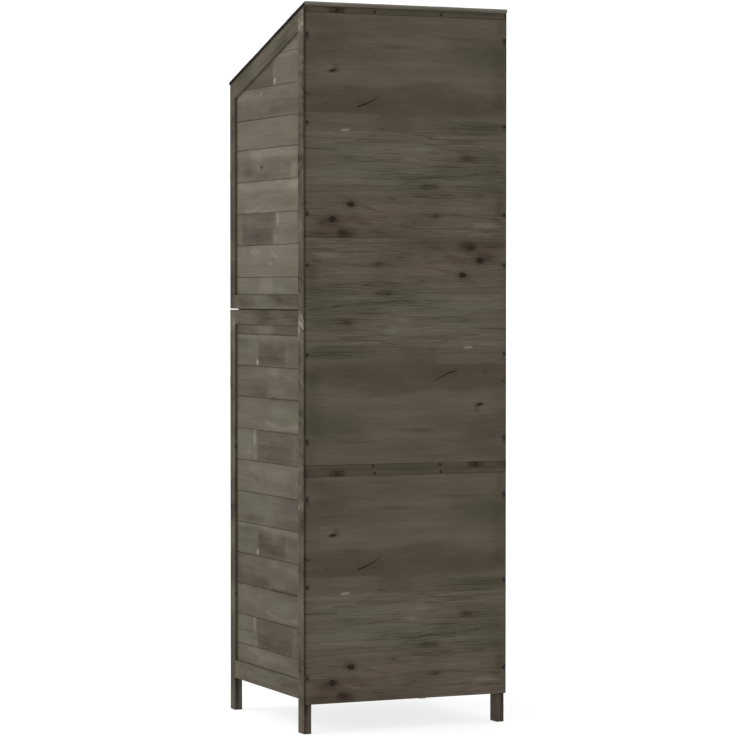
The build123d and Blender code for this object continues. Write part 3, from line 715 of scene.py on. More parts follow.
for s, side in ((1, "right"), (-1, "left")):
    sd = 0 if s > 0 else 300
    x0, x1 = sorted((s * XI, s * XO))

    def frame_bar(node, lo, hi, along, seed, fine=22, **kw):
        pc = Piece(node + "_wood")
        st = [6, 6, 6]
        st[along] = fine
        if along == 2:
            st[0], st[1] = 4, 3.2
        pc.bar(lo, hi, along, seed, r=1.3, step=st, **kw)
        return pc.build(M_FRAME, "carcass", node, "frame_wood")

    frame_bar(f"lower_{side}_front_post", (x0, YF, 0), (x1, YFI, 1010.8), 2, sd + 11, fine=4, tone=-0.14, hue=1.2, paint=post_paint(FRONT_LOW, sd + 11, False))
    frame_bar(f"lower_{side}_rear_post", (x0, YRI, 0), (x1, YR, 1012), 2, sd + 12, fine=3, tone=-0.085, hue=0.3, paint=post_paint(REAR_LOW, sd + 12, True))
    # Its underside gets painted light (0.50) to lift its shade.
    frame_bar(f"lower_{side}_top_rail", (x0, YFI, 975.5), (x1, YRI, 1010.8), 1, sd + 13, fine=9, tone=-0.10, hue=0.4,
              paint=rail_paint("rail_low_top", sd + 13, 975.5, 1010.8, s < 0, 0.50, 1010.8))
    frame_bar(f"lower_{side}_bottom_rail", (x0, YFI, 81.3), (x1, YRI, 126.7), 1, sd + 14, fine=9, tone=0.03, hue=0.4,
              paint=rail_paint("rail_bottom", sd + 14, 81.3, 126.7, s < 0))
    frame_bar(f"upper_{side}_bottom_rail", (x0, YF, 1013.2), (x1, YRI, 1048), 1, sd + 15, fine=9, tone=-0.045, hue=0.2,
              paint=rail_paint("rail_up_low", sd + 15, 1013.2, 1048, s < 0, 0.0, 1013.2))

    zt = z_rail((YF + YFI) / 2)
    frame_bar(f"upper_{side}_front_post", (x0, YF, 1047.2), (x1, YFI, zt), 2, sd + 16, fine=4, tone=-0.14, hue=1.3, paint=post_paint(FRONT_UP, sd + 16, False),
              shape=lambda v, zt=zt: v + np.stack([v[:, 0] * 0, v[:, 0] * 0, TA * (v[:, 1] - (YF + YFI) / 2)
                                                   * np.clip((v[:, 2] - zt + 60) / 60, 0, 1)], axis=1))
    zr = z_under((YRI + YR) / 2)
    frame_bar(f"upper_{side}_rear_post", (x0, YRI, 1012), (x1, YR, zr), 2, sd + 17, fine=3, tone=-0.125, hue=0.2, paint=post_paint(REAR_UP, sd + 17, True),
              shape=lambda v, zr=zr: v + np.stack([v[:, 0] * 0, v[:, 0] * 0, TA * (v[:, 1] - (YRI + YR) / 2)
                                                   * np.clip((v[:, 2] - zr + 60) / 60, 0, 1)], axis=1))
    zm = z_rail((YF + YRI) / 2)
    hh = 52.0 - 11.0 / math.cos(PITCH)
    # Its underside gets painted light (0.42) to lift its shade.
    frame_bar(f"upper_{side}_sloped_rail", (x0, YF, zm), (x1, YRI, zm + hh), 1, sd + 18, fine=9, tone=-0.08, hue=0.1,
              paint=rail_paint("rail_slope", sd + 18, zm, zm + hh, s < 0, 0.42),
              shape=lambda v: v + np.stack([v[:, 0] * 0, v[:, 0] * 0, TA * (v[:, 1] - (YF + YRI) / 2)], axis=1))

    side_boards("lower", side, s, (126.7,) + LOW_SEAMS + (975.5,), LOW_LOOKS, s < 0).build(
        M_BOARD, "carcass", f"lower_{side}_boards", "board_wood")
    side_boards("upper", side, s, (1048.0,) + UP_SEAMS + (1700.0,), UP_LOOKS, s < 0).build(
        M_BOARD, "carcass", f"upper_{side}_boards", "board_wood")

pc = Piece("side_cleats_wood")
for s in (1, -1):
    x0, x1 = sorted((s * 239.0, s * 249.0))
    for i, (za, zb, zc) in enumerate(((128.0, 974.0, 974.0), (1049.0, 1540.0, 1668.0))):
        pc.bar((x0, YFI, za), (x1, YFI + 16, zb), 2, 60 + i + (7 if s > 0 else 0), r=0.9, step=(6, 8, 30))
        pc.bar((x0, YRI - 16, za), (x1, YRI, zc), 2, 64 + i + (7 if s > 0 else 0), r=0.9, step=(6, 8, 30))
pc.build(M_FRAME, "carcass", "side_cleats", "frame_wood")

# ---------------------------------------------------------------- carcass: back
# across from the edge, down from the strip's outer edge, half sizes, lighter or darker, greener or redder
STAINS = [
    (45, 38, 62, 16, -8, .6), (75, 72, 50, 26, -6, -.9), (160, 72, 30, 4, -5, 0), (230, 97, 40, 4.5, -8, 0), (250, 70, 22, 3, -4, 0),
    (410, 70, 60, 3, -5, 0), (150, 110, 60, 14, -3, -.6), (345, 86, 30, 11, 4, 0), (470, 113, 72, 32, -7, 1.1), (516, 120, 26, 36, -7, .8),
    (420, 100, 30, 10, -4, -.3), (60, 145, 34, 9, 3, 0), (100, 168, 46, 8, 4, 0), (290, 137, 75, 13, 5, .1), (330, 168, 70, 12, 4, 0),
    (445, 176, 45, 14, 5, 0), (522, 40, 14, 30, -6, .7), (330, 186, 70, 6, -4, 0), (155, 180, 10, 3, -5, 0), (84, 146, 5.5, 7.5, -11, -.2), (55, 236, 5, 2.8, -8, -.4), (212, 133, 6, 2.4, -4, -.4), (94, 540, 9, 5, -8, -1.1),
    (512, 218, 20, 32, -6, 1.3), (432, 282, 70, 11, -3, 1.1), (475, 297, 58, 11, -5, 1.0), (460, 284, 25, 6, -3, .4), (500, 281, 26, 6, -5, .6), (110, 275, 90, 14, 1, -.1),
    (215, 338, 100, 9, 6, .2), (300, 340, 22, 9, 7, .9), (280, 363, 14, 5, 12, .9), (110, 350, 80, 14, 2, .9), (432, 361, 22, 9, -15, .3),
    (456, 368, 26, 4, -8, .5), (380, 345, 30, 6, 3, -.7), (490, 347, 40, 4, 5, -.2), (500, 360, 35, 22, -6, 1.2), (130, 395, 110, 20, 5, 1.3),
    (95, 418, 60, 3.5, 8, -.2), (150, 450, 40, 12, 4, -.6), (262, 428, 60, 22, -3, 1.1), (316, 429, 14, 7, -11, .9), (345, 432, 12, 4, -8, 0),
    (235, 462, 8, 3, -13, 0), (440, 405, 60, 12, -1, .5), (508, 420, 36, 26, -7, 1.1), (119, 475, 18, 12, -6, -.5), (190, 500, 60, 25, 1, -1.1),
    (240, 480, 25, 12, 1, -.8), (60, 525, 42, 18, -9, -1.2), (125, 510, 26, 10, -8, -1.1), (73, 512, 24, 14, -6, -.7), (102, 545, 24, 12, -23, -.4), (125, 550, 120, 9, -4, -.9), (420, 549, 100, 8, -2, -.8), (150, 520, 14, 7, -5, -1.0), (180, 538, 20, 7, -5, -.9),
    (215, 520, 12, 6, -5, -.6), (260, 500, 16, 7, -4, -.3), (292, 515, 22, 9, -4, -.4), (205, 549, 26, 7, -4, -.9), (35, 500, 16, 8, -4, -.6), (230, 540, 16, 5, 3, .4),
    (330, 478, 36, 30, -2, -.5), (340, 503, 17, 5, -15, .1), (270, 530, 50, 16, -3, -.9), (480, 521, 28, 6, 9, -.2), (474, 546, 30, 7, 2, .5), (440, 534, 40, 6, 4, -.2), (395, 538, 30, 2.4, 8, 0),
    (460, 546, 26, 2.4, 8, 0), (425, 531, 16, 3, -9, -.3), (480, 536, 12, 2.6, -9, 0), (400, 470, 44, 15, 2, -.5), (515, 485, 14, 34, -10, -.3),
    (360, 400, 120, 20, -1, .5), (90, 300, 70, 6, 3, .3), (40, 455, 50, 10, 2, -.1), (30, 545, 26, 14, -5, -.6), (245, 505, 30, 8, 2, -.2), (20, 112, 90, 36, -8.5, 0),
    (205, 424, 95, 16, 6, 0), (305, 391, 56, 13, 6, 0), (192, 352, 60, 13, 5.5, 0), (395, 268, 50, 10, 3, 0), (50, 556, 50, 16, -5, 0), (462, 432, 48, 15, -7, .6), (76, 157.5, 10, 4.0, -44, -.9),
]
STROKES = [  # lines that follow the grain: points, half width, lighter or darker, greener or redder
    (((350, 295), (380, 294), (412, 294)), 1.7, -9, .3), (((318, 312), (420, 311), (528, 309)), 1.4, 10, .3), (((0, 311), (90, 309), (165, 311)), 1.5, 5, 0),
    (((0, 316), (80, 317), (162, 315)), 1.6, -8, 0), (((40, 307), (160, 307)), 1.6, 4, 0), (((20, 331), (50, 330), (76, 331)), 2.0, 11, .6),
    (((74, 318), (98, 319)), 2.6, -6, .4), (((0, 343), (60, 342), (102, 341)), 2.2, -7, .2), (((102, 340), (130, 338)), 1.8, -5, .3),
    (((150, 329), (210, 326), (270, 325), (332, 328)), 2.2, -7, -.2), (((74, 358), (90, 355), (103, 354)), 1.7, -10, 0), (((98, 359), (114, 356), (128, 352)), 1.7, -10, 0),
    (((213, 350), (228, 353), (248, 352)), 1.8, -9, 0), (((320, 352), (334, 350), (350, 353)), 2.6, -9, -.3), (((324, 366), (360, 366), (395, 369), (424, 368)), 2.0, -11, -.2),
    (((178, 368), (230, 372), (300, 376), (334, 381)), 2.0, -8, .4), (((0, 378), (60, 382), (110, 376), (182, 373)), 1.8, -8, .4), (((24, 410), (130, 411), (214, 410)), 1.5, -9, .2),
    (((18, 433), (120, 432), (204, 433)), 1.5, -7, 0), (((398, 388), (460, 387), (528, 389)), 1.8, -6, .4), (((262, 431), (350, 430), (442, 432)), 3.2, -3.5, .6),
    (((228, 432), (292, 433)), 2.2, -4, .6), (((288, 455), (308, 453), (330, 454)), 2.0, -8, 0), (((344, 461), (358, 455), (372, 452)), 2.0, -9, 0),
    (((128, 479), (165, 485), (208, 494)), 2.8, -7, .1), (((38, 470), (112, 472)), 1.6, -5, 0), (((388, 500), (470, 504), (504, 507)), 2.4, -4, 0),
    (((190, 296), (240, 297), (280, 296)), 1.8, -7, 0), (((360, 480), (420, 484), (470, 480)), 1.6, 5, 0), (((290, 528), (400, 526), (520, 527)), 1.4, 8, -.2),
    (((120, 533), (180, 535), (240, 533)), 1.6, -7, -.4), (((20, 520), (60, 522)), 1.6, -6, -.6), (((330, 541), (345, 544), (360, 541)), 1.8, -10, 0),
    (((420, 544), (436, 540), (452, 543)), 1.8, -9, 0), (((270, 159), (292, 158), (316, 159)), 1.5, -6, 0), (((180, 104), (240, 105), (300, 106)), 1.6, 4, 0),
    (((0, 470), (20, 472)), 2.2, -8, 0), (((208, 412), (300, 404), (372, 402)), 1.6, -4, .4), (((380, 416), (430, 412), (500, 414)), 1.6, -2.5, .3),
    (((430, 518), (470, 519), (505, 518)), 1.5, 9, -.1), (((444, 524), (480, 525), (512, 524)), 1.5, 7, -.1), (((424, 549), (460, 550), (494, 549)), 1.5, 8, -.2),
    (((448, 556), (480, 556), (508, 557)), 1.5, 7, -.2), (((0, 304), (120, 303), (250, 305)), 1.5, 4, .1), (((180, 319), (300, 318), (420, 319)), 1.5, -5, .1),
    (((20, 325), (90, 324), (160, 325)), 1.5, 5, .2), (((330, 303), (430, 302), (528, 302)), 1.6, -6, .4), (((300, 320), (420, 319), (528, 320)), 1.5, 5, .2),
    (((350, 327), (440, 326), (528, 328)), 1.5, -5, .3), (((370, 275), (430, 274), (505, 275)), 1.5, -8, .5), (((380, 288), (450, 289), (520, 288)), 1.6, -10, .5),
    (((405, 281), (460, 280), (526, 282)), 1.8, -9, .6), (((425, 293), (480, 294), (528, 293)), 1.5, -7, .5), (((440, 284), (480, 285), (512, 284)), 1.3, -7, .4),
    (((150, 392), (200, 396), (240, 392)), 1.7, -7, .2), (((230, 398), (250, 401), (268, 398)), 1.8, -8, 0), (((120, 392), (134, 390), (150, 393)), 1.6, -8, 0),
]


def back_fields(pw, pd):
    """Stain on a back panel. A dark plum band crosses it; the grain is strongest below the band."""
    tone, hue = np.zeros(len(pw)), np.zeros(len(pw))
    q = np.stack([pw / 22.0, pd / 9.0, pw * 0], axis=1)
    rag = vnoise(q, 41)
    fw, fd = pw + 7.0 * vnoise(q * 0.6 + 9.0, 42), pd + 2.2 * rag
    for cw, cd, rw, rd, a, b in STAINS:
        f = np.exp(-((fw - cw) / rw) ** 2 - ((fd - cd) / rd) ** 2)
        tone += 1.25 * a * f
        hue += 1.2 * b * f
    pd2 = pd + 0.7 * rag
    for pts, hw, a, b in STROKES:
        mid = np.interp(pw, [c[0] for c in pts], [c[1] for c in pts])
        f = np.exp(-((pd2 - mid) / hw) ** 2) * step01(pw - pts[0][0], 2.5) * step01(pts[-1][0] - pw, 2.5) * (0.8 + 0.4 * rag)
        tone += 1.25 * a * f
        hue += b * f
    top = np.interp(pw, (0, 60, 130, 180, 230, 280, 340, 400, 450, 490, 533), (197, 195, 192, 200, 194, 188, 185, 192, 202, 210, 196))
    low = np.interp(pw, (0, 188, 200, 300, 380, 440, 490, 533), (258, 257, 262, 264, 268, 262, 255, 252))
    soft = np.interp(pw, (0, 186, 210, 533), (0.9, 0.9, 3.2, 3.6))
    band = step01(pd + 1.5 * rag - top, 3.2) * step01(low - pd - 0.8 * rag, soft) * np.interp(pw, (0, 340, 400, 460, 533), (1.0, 1.0, 0.86, 0.62, 0.7))
    tone -= 10.2 * band
    hue += band * (-0.80 + 0.9 * step01(214 - pd, 3.0) * step01(190 - pw, 8.0))
    brown = step01(pw - 189, 1.6) * step01(282 - pw, 5.0) * step01(pd - 260, 2.0) * step01(296 - pd, 1.2)
    tone -= 4.0 * brown
    hue -= 0.2 * brown
    tone -= 3.0 * np.exp(-pw / 7.0)
    mott = vnoise(np.stack([pw / 15.0, pd / 3.4, pw * 0], axis=1), 47) + 0.5 * vnoise(np.stack([pw / 34.0, pd / 7.0, pw * 0], axis=1), 48)
    tone += 2.6 * mott * (0.35 + 0.65 * step01(pd - 395.0, 22.0))
    gr = 0.22 + 0.70 * np.exp(-((pd - 370) / 82.0) ** 6) * (0.6 + 0.4 * np.clip(pw / 300.0, 0, 1)) + 0.34 * np.clip((pd - 430) / 60, 0, 1)
    gr = gr - 0.14 * band
    return tone * UNIT, hue, np.clip(gr, 0.05, 1.0)


def nail_dirt(v, spots, reach=3.2):
    d = np.zeros(len(v))
    for x, z, smear in spots:
        dz = v[:, 2] - z
        dz = np.where(dz < 0, dz / (1 + smear), dz)
        d = np.maximum(d, np.exp(-((v[:, 0] - x) ** 2 + dz ** 2) / reach ** 2))
    return d


def back_panel(node, z0, z1, pd_of, turned, spots, seed):
    pc = Piece(node + "_sheet")

    def coords(v):
        pw = 267.5 + v[:, 0] if turned else 267.5 - v[:, 0]
        return pw, pd_of(v[:, 2])

    def gfix(v):
        pw, pd = coords(v)
        return np.stack([pw / 1000, pd / 1000, 0.05 + (v[:, 1] - 255) / 1000], axis=1)

    def paint(v):
        pw, pd = coords(v)
        tone, hue, gr = back_fields(pw, pd)
        nails = nail_dirt(v, spots, 5.2)
        grime_and_shade = 0.9 * nails
        hue = hue + 1.2 * nails
        inset = HALF_BACK - np.abs(v[:, 0])
        # Painted shade on the side edges and just inside them on the back face; the top and bottom edges darken
        # faintly.
        side = np.maximum(0.80 * np.exp(-np.maximum(inset - 0.6, 0) / 0.4), 0.42 * np.exp(-(np.maximum(inset, 0) / 3.0) ** 2))
        low = np.exp(-np.maximum(np.minimum(v[:, 2] - z0, z1 - v[:, 2]), 0) / 1.2)
        grime_and_shade = np.maximum(grime_and_shade, side)
        grime_and_shade = np.maximum(grime_and_shade, 0.04 * low)
        return tone, hue, grime_and_shade, gr

    ex = [sx * k for sx in (-1, 1) for k in (252.0, 255.0, 257.5, 259.5, 261.0, 262.5, 264.0, 265.2)]
    ez = [z + k for _, z, _ in spots for k in (-9, -6, -4, -2.4, -0.8, 0.8, 2.4, 4, 6)]
    pc.bar((-HALF_BACK, 250, z0), (HALF_BACK, 260, z1), 0, seed, r=0.7, step=(6.5, 5, 2.1), edge=1.5, extra=(ex, (), ez),
           wobble=0.22, paint=paint, gfix=gfix, wear=0.3)
    return pc.build(M_BACK, "carcass", node, "back_sheet")


def side_spots(zs):
    return [(x, z, 1.4 if i == 0 else 0.2) for i, z in enumerate(zs) for x in (-262.0, 262.0)]


back_panel("lower_back_panel", 71.5, 614.5, lambda z: 632 - z, False, side_spots((563, 352, 136.5)), 21)
back_panel("middle_back_panel", 642.5, 1185.0, lambda z: (z - 625.5) * 1.0095, True, side_spots((700.5, 905.5, 1119.5)), 22)
back_panel("upper_back_panel", 1185.0, 1718.5, lambda z: 1740 - z, False, side_spots((1668, 1458, 1243)), 23)


def strip_bar(pc, z0, z1, seed, tone, xs, zn, turned, shape=None):
    spots = [(x, zn, 0.0) for x in xs]

    def paint(v):
        u = 264.5 + v[:, 0] if turned else 264.5 - v[:, 0]
        d = v[:, 2] - z0 if turned else z1 - v[:, 2]          # from the strip's outer edge
        w = z1 - z0
        rag = vnoise(np.stack([u / 16.0, d / 5.0, u * 0], axis=1), seed + 2)
        patch = step01(u + 2.5 * rag - 61.0, 3.2) * step01(101.0 - u - 1.0 * rag, 1.0)
        heart = np.exp(-((u - 80.0) / 5.0) ** 2 - ((d - 0.55 * w) / 4.2) ** 2)
        pale = np.exp(-((u - 71.5) / 3.6) ** 2 - ((d - 0.5 * w) / 2.6) ** 2)
        late = step01(u - 372.0, 12.0)
        tn = -15.0 * patch - 17.0 * heart + 10.0 * pale - 4.0 * np.exp(-(u / 26.0) ** 2) + 1.5 * rag
        tn = tn - 9.0 * late * np.exp(-((d - 4.8 + 0.5 * rag) / 1.2) ** 2) + 2.0 * late * np.exp(-((d - 9.0) / 2.0) ** 2)
        tn = tn - 3.0 * np.exp(-((u - 300.0) / 70.0) ** 2)
        hu = 0.1 - 1.0 * patch + 0.9 * np.exp(-((u - 280.0) / 75.0) ** 2) - 0.2 * np.exp(-((u - 150.0) / 60.0) ** 2)
        # Painted shade on the strip's ends at the side edges.
        end_shade = np.exp(-np.maximum(HALF_BACK - np.abs(v[:, 0]), 0) / 1.6)
        inner = np.maximum(w - d, 0)
        lip = (0.16 + 0.34 * late + 0.10 * rag) * np.exp(-inner / 1.1) + 0.10 * np.exp(-np.maximum(d, 0) / 1.0)
        grime_and_shade = np.maximum(np.maximum(0.97 * nail_dirt(v, spots, 2.9), 0.8 * end_shade), lip)
        return tn * UNIT, hu, grime_and_shade, None

    ex = [x + k for x in xs for k in (-6, -3, -1.2, 0, 1.2, 3, 6)]
    ku = [q if turned else -q for q in (61 - 264.5, 66 - 264.5, 71.5 - 264.5, 76 - 264.5, 80 - 264.5, 84 - 264.5, 99 - 264.5, 101 - 264.5, 103 - 264.5)]
    pc.bar((-HALF_BACK, 250, z0), (HALF_BACK, 260, z1), 0, seed, r=0.55, step=(10, 5, 1.5), edge=1.2, extra=(ex + ku, (), ()), paint=paint,
           tone=tone, shape=shape, wobble=0.10)


M_STRIP = wood("strip_stain", base=0.555, ring=0.06, lines=0.17, ridge=0.06, broad=0.08, cloud=0.08, fine=0.11, scuff=0.03, wander=0.010,
               wear=0.03, tint=0.6, wild=False, rough=0.74, spec=0.05, red=(1.035, 0.975, 0.905))
pc = Piece("back_edge_strips_wood")
strip_bar(pc, 614.5, 629.0, 31, -0.125, (-90.0, 86.0), 620.0, False)
strip_bar(pc, 629.0, 642.5, 32, -0.125, (-87.5, 89.5), 638.0, True)
zs = z_under(255.0)
strip_bar(pc, 1718.5, zs, 33, -0.125, (-90.0, 86.0), 1724.0, False,
          shape=lambda v: v + np.stack([v[:, 0] * 0, v[:, 0] * 0, TA * (v[:, 1] - 255.0) * np.clip((v[:, 2] - 1718.5) / (zs - 1718.5), 0, 1)], axis=1))
pc.build(M_STRIP, "carcass", "back_edge_strips", "back_sheet")

pc = Piece("rear_rails_wood")
for i, (z0, z1) in enumerate(((81.3, 126.7), (614, 650), (1167, 1203))):
    pc.bar((-XI, 230, z0), (XI, 250, z1), 0, 70 + i, step=(26, 7, 8))
zq = z_under(240.0)
pc.bar((-XI, 230, 1684), (XI, 250, zq), 0, 73, step=(26, 7, 8),
       shape=lambda v: v + np.stack([v[:, 0] * 0, v[:, 0] * 0, TA * (v[:, 1] - 240.0) * np.clip((v[:, 2] - 1700) / (zq - 1700), 0, 1)], axis=1))
pc.build(M_FRAME, "carcass", "rear_rails", "frame_wood")

# ---------------------------------------------------------------- carcass: front rails, floor, divider
for i, (node, z0, z1) in enumerate((("front_bottom_rail", 81.3, 126.7), ("front_lower_top_rail", 975.5, 1010.8),
                                    ("front_upper_bottom_rail", 1013.2, 1048.0))):
    pc = Piece(node + "_wood")
    pc.bar((-XI, YF, z0), (XI, YF + 20, z1), 0, 80 + i, step=(20, 7, 7), r=1.3)
    pc.build(M_FRAME, "carcass", node, "frame_wood")
pc = Piece("front_top_rail_wood")
zf = z_under(YF + 10)
pc.bar((-XI, YF, 1530), (XI, YF + 20, zf), 0, 84, step=(20, 7, 6), r=1.3,
       shape=lambda v: v + np.stack([v[:, 0] * 0, v[:, 0] * 0, TA * (v[:, 1] - YF - 10) * np.clip((v[:, 2] - 1540) / (zf - 1540), 0, 1)], axis=1))
pc.build(M_FRAME, "carcass", "front_top_rail", "frame_wood")

pc = Piece("floor_bearers_wood")
for i, (a, b) in enumerate(((-XI, -XI + 20), (-10, 10), (XI - 20, XI))):
    pc.bar((a, YF + 20, 81.3), (b, 230, 106), 1, 90 + i, step=(7, 26, 7))
pc.build(M_FRAME, "carcass", "floor_bearers", "frame_wood")
pc = Piece("floor_boards_wood")
w = (230 - YF - 20) / 6
for i in range(6):
    y0 = YF + 20 + i * w
    pc.bar((-XI, y0 + 0.5, 106), (XI, y0 + w - 0.5, 116), 0, 94 + i, r=1.4, step=(16, 10, 6), tone=0.05 * (rnd(94 + i, 3) - 0.5),
           hue=rnd(94 + i, 5) - 0.5)
pc.build(M_BOARD, "carcass", "floor_boards", "board_wood")

pc = Piece("divider_panel_sheet")
# Lighter (tone 0.25): painted light that lifts the shade in the slot between the rails where its edge shows.
pc.bar((-XO + 12, YF + 26, 1010.8), (XO - 12, 213, 1013.2), 0, 101, r=0.5, step=(14, 14, 4), edge=1.2, wobble=0.05, tone=0.25, hue=-1.0)
pc.bar((-XI + 0.2, 213, 1010.8), (XI - 0.2, 250, 1013.2), 0, 101, r=0.5, step=(14, 14, 4), edge=1.2, wobble=0.05, tone=0.25, hue=-1.0)
pc.build(M_SHEET, "carcass", "divider_panel", "sheet_wood")
pc = Piece("divider_bearers_wood")
for i, y0 in enumerate((-196.0, 0.0, 184.0)):
    pc.bar((-XI, y0, 980), (XI, y0 + 20, 1010.8), 0, 104 + i, step=(26, 7, 7))
pc.build(M_FRAME, "carcass", "divider_bearers", "frame_wood")
pc = Piece("door_stops_wood")
for i, (z0, z1) in enumerate(((133.7, 968.5), (1055.0, 1523.0))):
    pc.bar((XI - 12, YF + 18.4, z0), (XI, YF + 30, z1), 2, 108 + i, r=1.0, step=(6, 6, 26))
pc.build(M_FRAME, "carcass", "door_stops", "frame_wood")

# ---------------------------------------------------------------- roof
CP, SP = math.cos(PITCH), math.sin(PITCH)


def tilt(v):
    """From the flat roof, slope along -Y from its upper rear edge, to its place."""
    return np.stack([v[:, 0], 259.6 + v[:, 1] * CP - v[:, 2] * SP, 1745.0 + v[:, 1] * SP + v[:, 2] * CP], axis=1)


# Roof boards' end faces: a painted highlight along the top of the rear end face, fading towards its lower edge and
# broken by noise; the side ends are darkened, painted shade under the felt flaps.
def roof_end_light_and_shade(v):
    d = -2.0 - v[:, 2]
    wear_and_glint = vnoise(np.stack([v[:, 0] / 60.0, v[:, 0] * 0, v[:, 2] / 9.0], axis=1), 127)
    f = np.where(v[:, 1] > -1.2, np.interp(d, (0, 2.4, 4.8, 7.2, 9.0), (37, 25, 10, 5, 4)) + 2.0 * wear_and_glint, 0.0)
    end_shade = (np.abs(v[:, 0]) > HALF_ROOF - 2.6) * (v[:, 1] < -1.2)
    f = f + end_shade * np.interp(d, (0, 5.4, 7.4, 9.0), (-34, -32, -26, -12))
    return UNIT * f, 0.9 * (v[:, 1] > -1.2) + 0.8 * end_shade, np.zeros(len(v)), None


pc = Piece("roof_boards_wood")
run = (ROOF_LEN - 2.0) / 6
for i in range(6):
    pc.bar((-HALF_ROOF + 2, -(i + 1) * run, -11), (HALF_ROOF - 2, -i * run, -2), 0, 120 + i, r=0.8, step=(18, 12, 2.0), shape=tilt,
           tone=0.05 * (rnd(120 + i, 3) - 0.5) if i else 0.0, paint=roof_end_light_and_shade)
pc.build(M_BOARD, "carcass", "roof_boards", "board_wood")


FLAP = 7.6


def felt_cap():
    """The felt's outer skin: its top, its two side flaps and its front flap, open at the back and below."""
    lo, hi, r = np.array((-HALF_ROOF, -ROOF_LEN, -FLAP)), np.array((HALF_ROOF, 0.0, 0.0)), 2.2
    axes = [cuts(lo[0], hi[0], r, 9.0, 2.0, ()), np.array(sorted(set(list(cuts(lo[1], hi[1] + 40, r, 9.0, 2.0, (-6.0, -3.0, -1.0)))) - set())),
            cuts(lo[2] - 20, hi[2], r, 3.0, 1.0, (-FLAP,))]
    axes[1] = np.append(axes[1][axes[1] < -0.3], 0.0)
    axes[2] = np.insert(axes[2][axes[2] > -FLAP + 0.1], 0, -FLAP)
    p, quads = lattice_box(axes)
    big_lo, big_hi = lo + np.array((0, 0, -30)), hi + np.array((0, 30, 0))
    q = np.clip(p, big_lo + r, big_hi - r)
    d = p - q
    n = np.linalg.norm(d, axis=1)[:, None]
    nrm = d / np.maximum(n, 1e-9)
    v = np.where(n > 1e-9, q + r * nrm, p)
    wav = 0.35 * vnoise(p / 47.0, 71) + 0.15 * vnoise(p / 17.0, 72)
    v = v + nrm * (wav - 0.5)[:, None]
    low = np.abs(p[:, 2] + FLAP) < 1e-6
    v[low, 2] += 0.7 * vnoise(p[low] / 23.0, 73) + 0.3
    keep = []
    for f in quads:
        c = p[f]
        if np.all(np.abs(c[:, 2] + FLAP) < 1e-6) or np.all(np.abs(c[:, 1]) < 1e-6):
            continue
        keep.append(f)
    used = np.unique(np.concatenate(keep))
    new = np.full(len(p), -1)
    new[used] = np.arange(len(used))
    return v[used], [new[f] for f in keep], p[used]


fv, ff, fp = felt_cap()
pc = Piece("roof_felt_sheet")
# The flaps darken towards their lower edge: painted shade.
pc.raw(tilt(fv), ff, fp / 1000.0, tone=0.0, edge=np.exp(-np.abs(fp[:, 1]) / 1.0), grime_and_shade=np.clip((-fp[:, 2]) / FLAP, 0, 1))

g = Graph("felt_mineral")
p = g.attr("gco", True)
cut = g.attr("edge")
grit = g.new("ShaderNodeTexVoronoi", voronoi_dimensions="3D", feature="F1")
g.put(grit.inputs["Vector"], g.vmad(p, (620.0, 620.0, 620.0)))
grit.inputs["Scale"].default_value = 1.0
gc = g.split(grit.outputs["Color"])
wide = g.noise(p, (6.0, 9.0, 9.0), (1, 2, 3), 3.0, 0.6)
runs = g.noise(p, (34.0, 3.0, 34.0), (4, 2, 9), 2.0, 0.5)
lit = g.add(g.mul(gc[0], 0.55), g.mul(wide, 0.45), g.mul(runs, 0.18))
col = g.ramp(lit, [(0.15, (0.0075, 0.0072, 0.0066)), (0.5, (0.0165, 0.0158, 0.0142)), (0.78, (0.034, 0.032, 0.028)), (1.0, (0.085, 0.081, 0.072))])
# Painted shade: darker down the side and front flaps.
col = g.mix(g.span(g.attr("grime_and_shade"), 0.1, 0.7, 0.0, 0.8), col, (0.0068, 0.0060, 0.0046))
col = g.mix(g.span(cut, 0.45, 0.9), col, g.ramp(g.noise(p, (300.0, 300.0, 300.0)), [(0.3, (0.150, 0.145, 0.130)), (0.75, (0.225, 0.218, 0.200))]))
g.set(color=col, rough=g.mad(gc[1], 0.12, 0.85), spec=0.05)
g.bump(g.add(g.span(grit.outputs["Distance"], 0.0, 0.75, 1.0, 0.0), g.mul(wide, 0.6)), 0.8, 0.0011)
M_FELT = g.mat
pc.build(M_FELT, "carcass", "roof_felt", "felt", [("SOLIDIFY", {"thickness": 0.0019, "offset": -1.0, "use_rim": True})])


# ---------------------------------------------------------------- metal
def metal(name, dark, light, rust, amount, rough, shine=0.6, scale=1.0):
    """Painted or plated steel, worn and spotted with rust."""
    g = Graph(name)
    t = g.new("ShaderNodeTexCoord").outputs["Object"]
    k = scale
    a = g.noise(t, (90 * k, 90 * k, 90 * k), (1, 0, 2), 4.0, 0.65)
    b = g.noise(t, (420 * k, 420 * k, 420 * k), (3, 1, 7), 3.0, 0.6)
    c = g.noise(t, (30 * k, 30 * k, 30 * k), (5, 9, 2), 2.0, 0.5)
    base = g.mix(g.span(b, 0.3, 0.75), dark, light)
    r = g.span(g.add(g.mul(a, 0.7), g.mul(c, 0.5)), amount, amount + 0.14)
    col = g.mix(r, base, g.mix(b, rust, tuple(x * 0.45 for x in rust)))
    g.set(color=col, rough=g.add(g.mad(b, 0.18, rough - 0.09), g.mul(r, 0.3)), spec=shine, metal=g.span(r, 0.2, 0.8, 0.85, 0.0))
    g.bump(g.add(b, g.mul(r, 0.8)), 0.35, 0.00025)
    return g.mat


